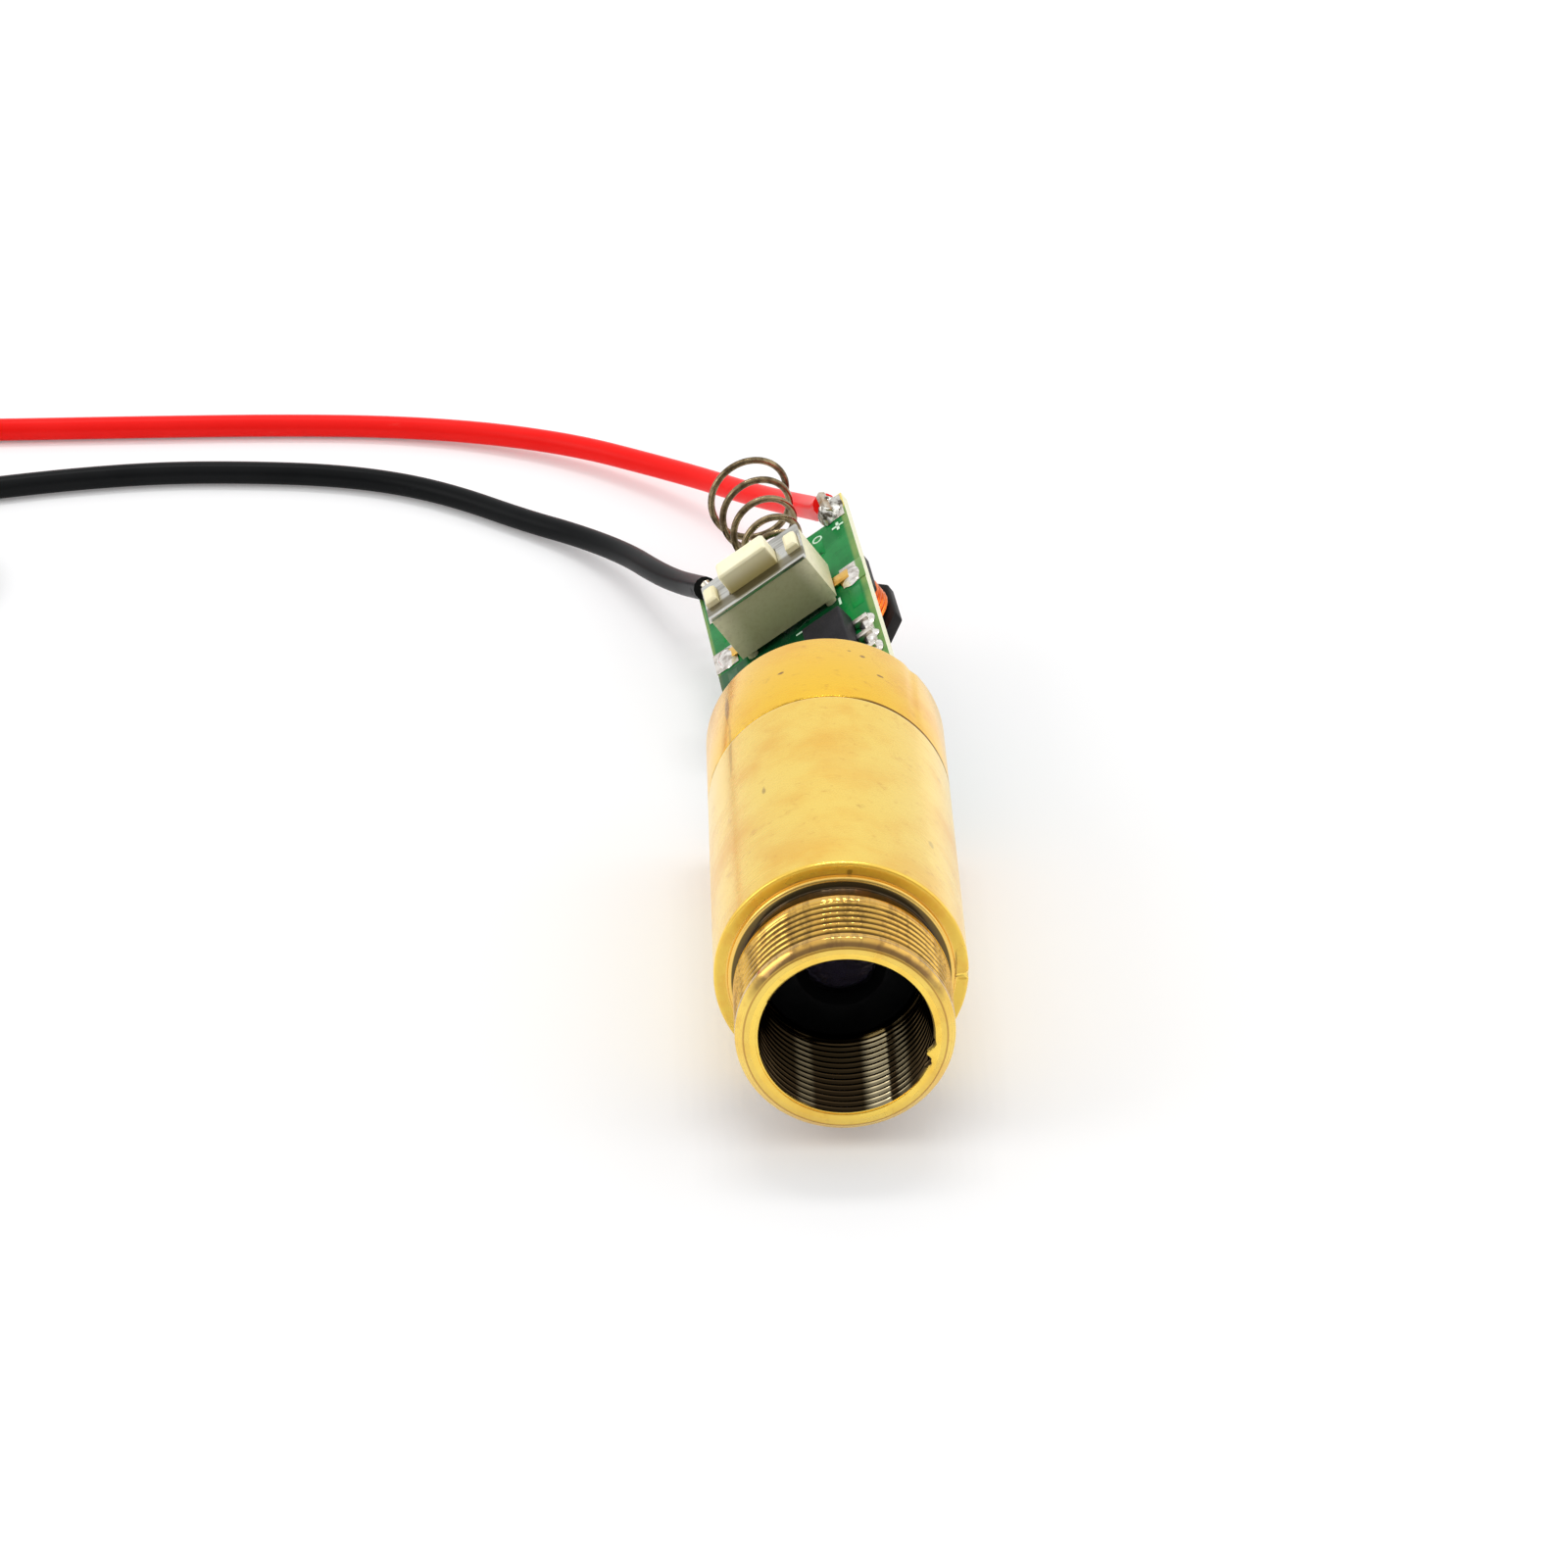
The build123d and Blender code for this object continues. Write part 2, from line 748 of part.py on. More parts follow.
# Battery spring: a closed end coil round the tab, then a cone of turns that opens rearward,
# drifting a little off the board's line
spring_reach = spring_pitch * spring_turns
spring_front = board_length + spring_seat
spring_centre = on_board(spring_seat_across, spring_front, spring_seat_above)
spring_tip_centre = on_board(
    spring_seat_across + spring_drift_across * spring_reach,
    spring_front + spring_reach,
    spring_seat_above + spring_drift_above * spring_reach,
)
spring_line = (spring_tip_centre - spring_centre).normalized()
spring_cone = math.atan(spring_slope)
front_out = across.rotate(Axis((0, 0, 0), along), -spring_seat_angle)
cone_curve = Plane(spring_centre, x_dir=front_out, z_dir=spring_line).location * Helix(
    pitch=spring_pitch / math.cos(spring_cone),
    height=spring_reach,
    radius=spring_seat_radius,
    cone_angle=math.degrees(spring_cone),
)
closed_height = closed_pitch * closed_turns
closed_start = front_out.rotate(Axis((0, 0, 0), spring_line), -360 * closed_turns)
closed_plane = Plane(spring_centre - spring_line * closed_height, x_dir=closed_start, z_dir=spring_line)
closed_curve = closed_plane.location * Helix(
    pitch=closed_pitch,
    height=closed_height,
    radius=spring_seat_radius,
)
with BuildPart() as contact_spring:
    for curve in (closed_curve, cone_curve):
        with BuildSketch(Plane(curve @ 0, z_dir=curve % 0)):
            RegularPolygon(spring_wire / 2, spring_sides)
        sweep(path=curve, is_frenet=True)
save(contact_spring, "contact_spring")

# Bare conductors: each lies on its tongue's pad and runs into its lead's insulation
conductor_radius = conductor_diameter / 2
conductor_level = pad_top + solder_film + conductor_radius
tongue_end = on_board(0, board_end, 0).Y
red_points = (
    (0.71, 0.95, 2.41),
    (0.58, 2.77, 1.23),
    (0.33, 4.97, 0.3),
    (-0.22, 7.67, -0.84),
    (-1.48, 11.07, -2.14),
    (-3.32, 14.48, -3.2),
    (-5.58, 18.18, -4.1),
    (-8.79, 21.52, -4.65),
    (-12.73, 24.64, -4.95),
    (-17.86, 27.05, -5.2),
    (-23.6, 28.41, -5.35),
    (-29.88, 28.73, -5.35),
    (-36.72, 28.68, -5.35),
    (-42.97, 28.54, -5.35),
    (-47.8, 28.45, -5.35),
    (-52.5, 28.32, -5.35),
)
red_route = [(x, tongue_end + y, z) for x, y, z in red_points]
black_points = (
    (-5.75, -1.68, -0.92),
    (-6.2, 0.07, -1.2),
    (-7.15, 2.57, -2.4),
    (-8.33, 5.27, -3.4),
    (-9.94, 9.39, -4.35),
    (-12.57, 13.0, -5.1),
    (-15.73, 15.62, -5.35),
    (-19.39, 18.66, -5.35),
    (-22.79, 20.62, -5.35),
    (-26.75, 21.83, -5.35),
    (-31.54, 22.33, -5.35),
    (-36.59, 22.37, -5.35),
    (-41.57, 21.63, -5.35),
    (-46.76, 20.37, -5.35),
    (-51.33, 18.85, -5.35),
)
black_route = [(x, tongue_end + y, z) for x, y, z in black_points]


def arc_radii(points):
    """Largest tangent arc at each corner of a route: 0.45 of the shorter run."""
    radii = []
    for before, corner, after in zip(points, points[1:], points[2:]):
        arriving = Vector(corner) - Vector(before)
        leaving = Vector(after) - Vector(corner)
        half_turn = math.radians(arriving.get_angle(leaving)) / 2
        radii.append(0.45 * min(arriving.length, leaving.length) / math.tan(half_turn))
    return radii


lead_swell = math.sqrt(2 * math.pi / lead_sides / math.sin(2 * math.pi / lead_sides))


def lead_tube(points):
    """The uncoiled stretch of a lead along its route, as a finished part."""
    radii = arc_radii(points)
    print("lead radii", [round(radius, 1) for radius in radii])
    with BuildPart() as tube:
        with BuildLine() as route:
            FilletPolyline(*points, radius=radii)
        with BuildSketch(Plane(points[0], z_dir=route.wire() % 0)):
            RegularPolygon(lead_wire_diameter / 2 * lead_swell, lead_sides, rotation=180 / lead_sides)
        sweep(path=route.wire())
    section = math.pi * lead_wire_diameter**2 / 4
    print("lead length", round(route.wire().length, 2))
    print("volume over section times length", round(tube.part.volume / section / route.wire().length, 4))
    return tube


red_wire = lead_tube(red_route)
save(red_wire, "red_wire")
black_wire = lead_tube(black_route)
save(black_wire, "black_wire")

# The rest of each lead is a flat two-turn coil on the surface, its bare tip inside the last turn
coil_outer = coil_mean_radius + coil_pitch * coil_turns / 2
coil_inner = coil_mean_radius - coil_pitch * coil_turns / 2
lead_radius = lead_wire_diameter / 2


def lead_coil(points, side):
    """A lead's coil and bare tip: side is 1 where the coil turns left, -1 where it turns right."""
    heading = (Vector(points[-1]) - Vector(points[-2])).normalized()
    inward = Vector(-heading.Y, heading.X, 0) * side
    centre = Vector(points[-1]) + heading * coil_lead_in + inward * coil_outer
    tip_start = centre - inward * coil_inner
    tip_plane = Plane(tip_start, x_dir=inward, z_dir=heading)
    with BuildPart() as coil:
        with BuildSketch(Plane((centre.X, centre.Y, floor_height), z_dir=(0, 0, 1))):
            Circle(coil_outer + lead_radius)
            Circle(coil_inner - lead_radius, mode=Mode.SUBTRACT)
        extrude(amount=lead_wire_diameter)
        with BuildSketch(Plane(points[-1], x_dir=inward, z_dir=heading)):
            Rectangle(lead_wire_diameter, lead_wire_diameter)
        extrude(amount=coil_lead_in)
        with BuildSketch(tip_plane):
            Rectangle(coil_pitch * 1.6, 2 * lead_wire_diameter)
        extrude(amount=bare_tip_length + lead_radius, mode=Mode.SUBTRACT)
    with BuildPart() as tip:
        with BuildSketch(tip_plane):
            Circle(conductor_radius)
        extrude(amount=bare_tip_length)
    return coil, tip


red_coil, red_tip = lead_coil(red_route, -1)
save(red_coil, "red_wire_coil")
save(red_tip, "red_wire_tip")
black_coil, black_tip = lead_coil(black_route, 1)
save(black_coil, "black_wire_coil")
save(black_tip, "black_wire_tip")

red_lap = (red_lap_across, board_length + red_lap_reach)
black_lap = (black_lap_across, board_length - black_lap_setback)
red_bend = on_board(red_exit_across, board_end + exit_reach, conductor_level)
black_bend = on_board(black_exit_across, board_length + exit_reach, conductor_level)
with BuildPart() as lead_conductors:
    for points, lap, bend in (
        (red_route, red_lap, red_bend),
        (black_route, black_lap, black_bend),
    ):
        with BuildLine() as conductor_line:
            FilletPolyline(on_board(*lap, conductor_level), bend, Vector(points[0]), radius=conductor_bend)
        with BuildSketch(Plane(conductor_line.wire() @ 0, z_dir=conductor_line.wire() % 0)):
            RegularPolygon(conductor_radius, wire_sides)
        sweep(path=conductor_line.wire())
save(lead_conductors, "lead_conductors")


def beads(spots, radius, height, cutters):
    """Eight-sided solder beads of one size, steep at the foot, cut by what they hold."""
    levels = ((radius, 0), (radius * bead_waist, height * bead_waist), (radius * bead_crown, height))
    with BuildPart() as bead_part:
        for spot in spots:
            for (low_radius, low), (high_radius, high) in zip(levels, levels[1:]):
                draft = math.degrees(math.atan((low_radius - high_radius) * bead_flat / (high - low)))
                with BuildSketch(spot.offset(low)):
                    RegularPolygon(low_radius, bead_sides)
                extrude(amount=high - low, taper=draft)
        for cutter in cutters:
            add(cutter.part, mode=Mode.SUBTRACT)
    return bead_part


pin_spots_on_board = [upright(w, pin_bead_along, pad_top) for w in (-pin_spread, pin_spread)]
under_spot = Plane(on_board(0, pin_bead_along, board_bottom - pad_thickness), x_dir=across, z_dir=-above)
pin_solder = beads([*pin_spots_on_board, under_spot], pin_bead_radius, pin_bead_height, [diode_pins])
save(pin_solder, "pin_solder")

lead_spots = [upright(w, l + lead_bead_radius + 2 * solder_film, pad_top) for w, l in (red_lap, black_lap)]
lead_solder = beads(lead_spots, lead_bead_radius, lead_bead_height, [lead_conductors])
save(lead_solder, "lead_solder")

spring_spots = [upright(w, spring_front, board_top) for w in (-tab_width / 2, tab_width / 2)]
spring_solder = beads(spring_spots, spring_bead_radius, spring_bead_height, [contact_spring, board_pads])
save(spring_solder, "spring_solder")

terminal_spots = [upright(w, switch_centre, pad_top) for w in (-terminal_reach, terminal_reach)]
switch_solder = beads(terminal_spots, terminal_bead_radius, terminal_bead_height, [switch_terminals])
save(switch_solder, "switch_solder")

leg_alongs = [chip_along + step * lead_pitch for step in (-1, 0, 1)]
leg_spots = [upright(chip_edge + lead_reach, l, pad_top) for l in leg_alongs]
chip_solder = beads(leg_spots, leg_bead_radius, leg_bead_height, [chip_legs])
save(chip_solder, "chip_solder")
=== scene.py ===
"""Dresses the brass laser pointer core: finishes, threads, wear, springs, solder and leads."""
import logging
import math
import random
from collections.abc import Iterable, Sequence
from dataclasses import dataclass
from enum import Enum

import bmesh
import bpy
from mathutils import Matrix, Vector


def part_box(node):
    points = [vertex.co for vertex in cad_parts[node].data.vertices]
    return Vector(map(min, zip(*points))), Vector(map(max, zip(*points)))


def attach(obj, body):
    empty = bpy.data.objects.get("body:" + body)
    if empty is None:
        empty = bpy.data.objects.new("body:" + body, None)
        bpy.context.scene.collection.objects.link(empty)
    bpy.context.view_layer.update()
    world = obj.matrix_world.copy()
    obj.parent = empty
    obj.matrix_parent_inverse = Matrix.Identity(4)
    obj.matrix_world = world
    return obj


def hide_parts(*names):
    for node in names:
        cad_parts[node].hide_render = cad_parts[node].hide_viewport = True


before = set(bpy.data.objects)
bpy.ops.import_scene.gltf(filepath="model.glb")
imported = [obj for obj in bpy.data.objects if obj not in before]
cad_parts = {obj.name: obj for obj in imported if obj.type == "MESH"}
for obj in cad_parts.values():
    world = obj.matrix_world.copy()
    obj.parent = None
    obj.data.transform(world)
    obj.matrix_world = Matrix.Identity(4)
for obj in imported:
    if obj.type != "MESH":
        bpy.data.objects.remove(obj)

log = logging.getLogger("laser_pointer_core")
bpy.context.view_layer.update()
MM = 0.001
CORE, BUTTON = "core", "button"
FULL_TURN = 2 * math.pi
WHITE = (1.0, 1.0, 1.0, 1.0)

CAD_DOUBLES = 2e-6        # metres within which a CAD node's doubled vertices are merged
EASED_DOUBLES = 5e-7      # the same once its edges are eased
FLAT_ANGLE = 0.6          # degrees under which neighbouring facets count as one face
LATHE_STEPS = 240         # faces round a turned piece
EDGE_ANGLE = 30.0         # degrees past which an edge stays sharp, on pieces with flat faces
PLATE_ANGLE = 35.0        # the same on thin plates,
COLLAR_ANGLE = 40.0       # on the collar,
WIRE_ANGLE = 60.0         # on wires and rings,
THREAD_ANGLE = 66.0       # on the threaded barrel
SOLDER_ANGLE = 75.0       # and on solder

Point = tuple[float, float, float]
Spot = tuple[float, float]
Mesh = bpy.types.Mesh
Socket = bpy.types.NodeSocket


class Slot(Enum):
    """The record's material slots, one kept with each finish."""

    BRASS = "brass"
    LENS_CELL = "black_anodised"
    GLASS = "lens_glass"
    STEEL = "steel"
    GOLD = "gold_plate"
    BOARD = "board_green"
    TIN = "tin"
    HOUSING = "switch_body"
    CREAM = "switch_cream"
    CHIP = "chip_black"
    FERRITE = "ferrite"
    COPPER = "copper_wire"
    RESISTOR = "resistor_black"
    CAPACITOR = "capacitor_tan"
    SPRING = "spring_steel"
    RED = "red_insulation"
    BLACK = "black_insulation"


# ---------------------------------------------------------------- node trees


class Tree:
    """Short-hand for filling a node tree, shared by the materials and the Geometry Nodes."""

    def __init__(self, tree: bpy.types.NodeTree) -> None:
        """Starts from an empty tree.

        Args:
            tree: the node tree to fill.
        """
        self.tree = tree
        tree.nodes.clear()

    def add(self, kind: str, *values: object, out: int | str = 0, **settings: object) -> Socket:
        """Adds a node and fills its sockets in order.

        Args:
            kind: the node's type.
            values: one entry for each input socket in order: None, a value or a socket to link.
            out: the output that is returned, by its place among those in use or by name.
            settings: properties set on the node itself before its sockets are filled.

        Returns:
            The chosen output socket.
        """
        node = self.tree.nodes.new(kind)
        for key, value in settings.items():
            setattr(node, key, value)
        usable = [s for s in node.inputs if s.enabled]
        for socket, value in zip(usable, values):
            self.feed(socket, value)
        found = [s for s in node.outputs if s.enabled]
        return node.outputs[out] if isinstance(out, str) else found[out]

    def feed(self, socket: Socket, value: object) -> None:
        """Links a socket to another, or sets its value, or leaves it as it is.

        Args:
            socket: the input socket.
            value: the socket to link, the value to set, or None to leave it.
        """
        if isinstance(value, Socket):
            self.tree.links.new(value, socket)
        elif value is not None:
            socket.default_value = value

    def end(self, kind: str, socket: str, value: Socket) -> None:
        """Adds the output node and links its socket to a value."""
        self.tree.links.new(value, self.tree.nodes.new(kind).inputs[socket])

    def split(self, vector: Socket) -> tuple[Socket, ...]:
        """The three parts of a vector."""
        return tuple(self.add("ShaderNodeSeparateXYZ", vector).node.outputs)

    def math(self, operation: str, *values: object, clamp: bool = False) -> Socket:
        """A Math node's result."""
        return self.add("ShaderNodeMath", *values, operation=operation, use_clamp=clamp)

    def times(self, first: object, second: object) -> Socket:
        """One value times another."""
        return self.math("MULTIPLY", first, second)

    def plus(self, first: object, second: object, clamp: bool = False) -> Socket:
        """One value and another."""
        return self.math("ADD", first, second, clamp=clamp)

    def minus(self, first: object, second: object) -> Socket:
        """One value less another."""
        return self.math("SUBTRACT", first, second)

    def over(self, first: object, second: object, clamp: bool = False) -> Socket:
        """One value divided by another."""
        return self.math("DIVIDE", first, second, clamp=clamp)

    def most(self, first: object, second: object) -> Socket:
        """The greater of two values."""
        return self.math("MAXIMUM", first, second)

    def flip(self, value: object) -> Socket:
        """1 less a value."""
        return self.math("SUBTRACT", 1.0, value)

    def square(self, value: Socket) -> Socket:
        """A value times itself."""
        return self.times(value, value)

    def ranged(self, value: object, low: float, high: float, start: object, end: object) -> Socket:
        """A value's place between low and high, carried over to between start and end."""
        return self.add("ShaderNodeMapRange", value, low, high, start, end)

    def smooth(self, value: object, low: object, high: object) -> Socket:
        """Smoothly 0 below low and 1 above high."""
        return self.add("ShaderNodeMapRange", value, low, high, 0.0, 1.0, interpolation_type="SMOOTHSTEP")

    def rise(self, value: object, low: float, high: float) -> Socket:
        """Smoothly 0 below low and 1 above high, both in millimetres."""
        return self.smooth(value, low * MM, high * MM)

    def drop(self, value: object, low: float, high: float) -> Socket:
        """Smoothly 1 below low and 0 above high, both in millimetres."""
        return self.flip(self.rise(value, low, high))

    def band(self, value: object, start: float, full: float, fade: float, end: float,
             unit: float = MM) -> Socket:
        """0 outside start and end, 1 from full to fade, and smooth between them, in a unit."""
        falling = self.flip(self.smooth(value, fade * unit, end * unit))
        return self.times(self.smooth(value, start * unit, full * unit), falling)


class Finish(Tree):
    """One procedural material, built once and shared."""

    def __init__(self, name: str, slot: Slot) -> None:
        """Opens an empty material.

        Args:
            name: the material's name.
            slot: the record's slot that it stands for.
        """
        self.material = bpy.data.materials.new(name)
        self.material.use_nodes = True
        super().__init__(self.material.node_tree)
        self.slot = slot
        self.shader = self.tree.nodes.new("ShaderNodeBsdfPrincipled")
        self.end("ShaderNodeOutputMaterial", "Surface", self.shader.outputs[0])
        self.place = self.add("ShaderNodeTexCoord", out="Object")

    def set(self, **values: object) -> None:
        """Sets the shader's sockets by name, with underscores for spaces."""
        for key, value in values.items():
            self.feed(self.shader.inputs[key.replace("_", " ")], value)

    def scaled(self, scale: Point, turn: Point = (0, 0, 0), shift: Point = (0, 0, 0)) -> Socket:
        """Object coordinates scaled, turned and moved by a Mapping node, in that order.

        Args:
            scale: factors along the three axes.
            turn: rotation in radians.
            shift: translation after scaling and turning.

        Returns:
            The mapped vector.
        """
        return self.add("ShaderNodeMapping", self.place, shift, turn, scale)

    def noise(self, scale: float, detail: float = 2.0, rough: float = 0.5,
              vector: Socket | None = None) -> Socket:
        """Noise from 0 to 1 at a scale in cycles a metre."""
        return self.add("ShaderNodeTexNoise", vector or self.place, scale, detail, rough)

    def stretched(self, scale: Point, detail: float, rough: float) -> Socket:
        """Noise from 0 to 1 with a scale of its own along each axis."""
        return self.noise(1.0, detail, rough, self.scaled(scale))

    def blend(self, factor: object, low: object, high: object) -> Socket:
        """A mix of two colours.

        Args:
            factor: the share of the second colour.
            low: the first colour, or a socket that gives it.
            high: the second colour, or a socket that gives it.

        Returns:
            The mixed colour.
        """
        node = self.tree.nodes.new("ShaderNodeMix")
        node.data_type = "RGBA"
        for socket, value in zip((node.inputs[0], node.inputs[6], node.inputs[7]), (factor, low, high)):
            self.feed(socket, (*value, 1.0) if isinstance(value, tuple) else value)
        return node.outputs[2]

    def bump(self, height: object, distance: float, strength: float = 1.0,
             normal: Socket | None = None) -> Socket:
        """Tilts the surface by a height field.

        Args:
            height: the field, from 0 to 1.
            distance: how high 1 stands, in metres.
            strength: the share of the tilt that shows.
            normal: the bump that this one lies on, if any.

        Returns:
            The tilted normal.
        """
        node = self.tree.nodes.new("ShaderNodeBump")
        for label, value in (("Strength", strength), ("Distance", distance), ("Height", height), ("Normal", normal)):
            self.feed(node.inputs[label], value)
        return node.outputs[0]


def tint(red: int, green: int, blue: int) -> Point:
    """A colour as it is seen on a screen, 0 to 255, turned into a shader's linear values."""
    parts = (c / 255 for c in (red, green, blue))
    return tuple(c / 12.92 if c <= 0.04045 else ((c + 0.055) / 1.055) ** 2.4 for c in parts)


# ---------------------------------------------------------------- where things are


@dataclass(frozen=True)
class BoardFrame:
    """The circuit board's own axes: w across it, l along it from the collar's end, n up from it."""

    collar_end: float = 28.96
    roll: float = 35.3
    lift: float = 1.7
    yaw: float = 5.9

    @property
    def turn(self) -> Matrix:
        """Turns the board's axes to the object's.

        Returns:
            The rotation.
        """
        yaw = Matrix.Rotation(math.radians(self.yaw), 3, "Z")
        lift = Matrix.Rotation(math.radians(self.lift), 3, "X")
        return yaw @ lift @ Matrix.Rotation(math.radians(-self.roll), 3, "Y")

    @property
    def matrix(self) -> Matrix:
        """Places a mesh drawn in millimetres on the board's axes.

        Returns:
            The placement in metres.
        """
        place = self.turn.to_4x4()
        place.translation = Vector((0, self.collar_end, 0))
        return Matrix.Scale(MM, 4) @ place

    def at(self, w: float, l: float, n: float) -> Vector:
        """A point on the board's axes, in millimetres, as a point of the object in metres."""
        return self.matrix @ Vector((w, l, n))

    def ways(self) -> tuple[Vector, Vector, Vector]:
        """The directions across, along and up from the board."""
        return tuple(self.turn.col)


BOARD = BoardFrame()


@dataclass(frozen=True)
class Mark:
    """A small worn, dirty or dented place on a surface, in millimetres."""

    centre: Point
    reach: Point
    strength: float = 0.8


def placement(x: Vector, y: Vector, z: Vector, origin: Vector) -> Matrix:
    """The matrix that lays a mesh's own axes along three directions from an origin."""
    return Matrix((*(Vector((x[i], y[i], z[i], origin[i])) for i in range(3)), (0, 0, 0, 1)))


# ---------------------------------------------------------------- meshes


def finished(work: bmesh.types.BMesh, name: str) -> Mesh:
    """Turns a working mesh into a plain one and frees it.

    Args:
        work: the working mesh.
        name: the plain mesh's name.

    Returns:
        The plain mesh.
    """
    mesh = bpy.data.meshes.new(name)
    work.to_mesh(mesh)
    work.free()
    return mesh


def shade(mesh: Mesh, angle: float) -> Mesh:
    """Smooths a mesh except across its sharp edges.

    Args:
        mesh: the mesh, which is changed.
        angle: edges sharper than this many degrees stay sharp.

    Returns:
        The same mesh.
    """
    work = bmesh.new()
    work.from_mesh(mesh)
    limit = math.radians(angle)
    for face in work.faces:
        face.smooth = True
    for edge in work.edges:
        edge.smooth = not edge.is_manifold or edge.calc_face_angle(0.0) < limit
    work.to_mesh(mesh)
    work.free()
    return mesh


def dressed_copy(node: str, bevel: float = 0.0, angle: float = EDGE_ANGLE) -> Mesh:
    """A copy of a CAD node's mesh with its doubles merged, its edges eased and its curves smoothed.

    Args:
        node: the CAD node that is copied.
        bevel: width of the eased edges in millimetres, or 0 for none.
        angle: edges sharper than this many degrees stay sharp, and are the ones eased.

    Returns:
        The new mesh.
    """
    work = bmesh.new()
    work.from_mesh(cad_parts[node].data)
    bmesh.ops.remove_doubles(work, verts=work.verts, dist=CAD_DOUBLES)
    if bevel:
        bmesh.ops.dissolve_limit(work, angle_limit=math.radians(FLAT_ANGLE), verts=work.verts, edges=work.edges)
    bmesh.ops.recalc_face_normals(work, faces=work.faces)
    if bevel:
        sharp = [e for e in work.edges if e.is_manifold and e.calc_face_angle(0.0) > math.radians(angle)]
        bmesh.ops.bevel(work, geom=sharp, offset=bevel * MM, segments=3, profile=0.5,
                        affect="EDGES", clamp_overlap=True)
        bmesh.ops.remove_doubles(work, verts=work.verts, dist=EASED_DOUBLES)
    return shade(finished(work, node + "_dressed"), angle)


def lathe(profile: Sequence[Spot]) -> Mesh:
    """Turns a closed profile about the optical axis.

    Args:
        profile: the ring's section in (y, radius) points in millimetres, in order round it.

    Returns:
        A closed ring mesh in metres with its faces outwards.
    """
    work = bmesh.new()
    rings = []
    for step in range(LATHE_STEPS):
        angle = FULL_TURN * step / LATHE_STEPS
        s, c = math.sin(angle) * MM, math.cos(angle) * MM
        rings.append([work.verts.new((r * s, y * MM, r * c)) for y, r in profile])
    for ring, following in zip(rings, rings[1:] + rings[:1]):
        for i in range(len(profile)):
            j = (i + 1) % len(profile)
            work.faces.new((ring[i], ring[j], following[j], following[i]))
    bmesh.ops.recalc_face_normals(work, faces=work.faces)
    return finished(work, "lathe")


def eased(profile: Sequence[Spot], radius: float, steps: int = 3) -> list[Spot]:
    """Rounds the corners of a closed profile where both of its sides are long enough.

    Args:
        profile: the section's points in order.
        radius: how far from a corner its rounding starts.
        steps: straight runs in each rounding.

    Returns:
        The section with its corners rounded.
    """
    side_share, straight_dot, least_cut = 0.4, -0.995, 0.01
    rounded = []
    count = len(profile)
    for i, corner in enumerate(profile):
        here = Vector(corner)
        before, after = Vector(profile[i - 1]) - here, Vector(profile[(i + 1) % count]) - here
        cut = min(radius, before.length * side_share, after.length * side_share)
        if before.normalized().dot(after.normalized()) < straight_dot or cut < least_cut:
            rounded.append(tuple(here))
            continue
        start, end = here + before.normalized() * cut, here + after.normalized() * cut
        for step in range(steps + 1):
            t = step / steps
            rounded.append(tuple(start.lerp(here, t).lerp(here.lerp(end, t), t)))
    return rounded


def steps_between(start: float, end: float, step: float) -> list[float]:
    """Evenly spaced values after start and up to end, about step apart."""
    count = max(1, round(abs(end - start) / step))
    return [start + (end - start) * i / count for i in range(1, count + 1)]


def stand(name: str, data: bpy.types.ID) -> bpy.types.Object:
    """Links an object with some data into the scene.

    Args:
        name: the object's name.
        data: its mesh, curve, lamp or camera.

    Returns:
        The object.
    """
    thing = bpy.data.objects.new(name, data)
    bpy.context.scene.collection.objects.link(thing)
    return thing


def evaluated_mesh(thing: bpy.types.Object) -> Mesh:
    """Works out an object's modifiers or its curve.

    Args:
        thing: the object, linked into the scene.

    Returns:
        What they give, as a plain mesh.
    """
    depsgraph = bpy.context.evaluated_depsgraph_get()
    depsgraph.update()
    return bpy.data.meshes.new_from_object(thing.evaluated_get(depsgraph))


def add_piece(name: str, mesh: Mesh, finishes: Sequence[Finish], replaces: Iterable[str] = (),
              body: str = CORE) -> bpy.types.Object:
    """Makes a finished piece of a mesh and sets it on its body.

    Args:
        name: the piece's name.
        mesh: its mesh, in metres and in place.
        finishes: its materials in the order of the mesh's material indices.
        replaces: CAD nodes that it stands for.
        body: the body that it rides on.

    Returns:
        The piece's object.
    """
    piece = stand(name, mesh)
    mesh.name = name
    mesh.materials.clear()
    for finish in finishes:
        mesh.materials.append(finish.material)
    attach(piece, body)
    if replaces:
        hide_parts(*replaces)
    log.info("%s: %d faces", name, len(mesh.polygons))
    return piece


def join_meshes(meshes: Iterable[Mesh], name: str) -> Mesh:
    """Puts several meshes into one.

    Args:
        meshes: the meshes, all in place.
        name: the joined mesh's name.

    Returns:
        The joined mesh.
    """
    work = bmesh.new()
    for mesh in meshes:
        work.from_mesh(mesh)
    return finished(work, name)


# ---------------------------------------------------------------- Geometry Nodes


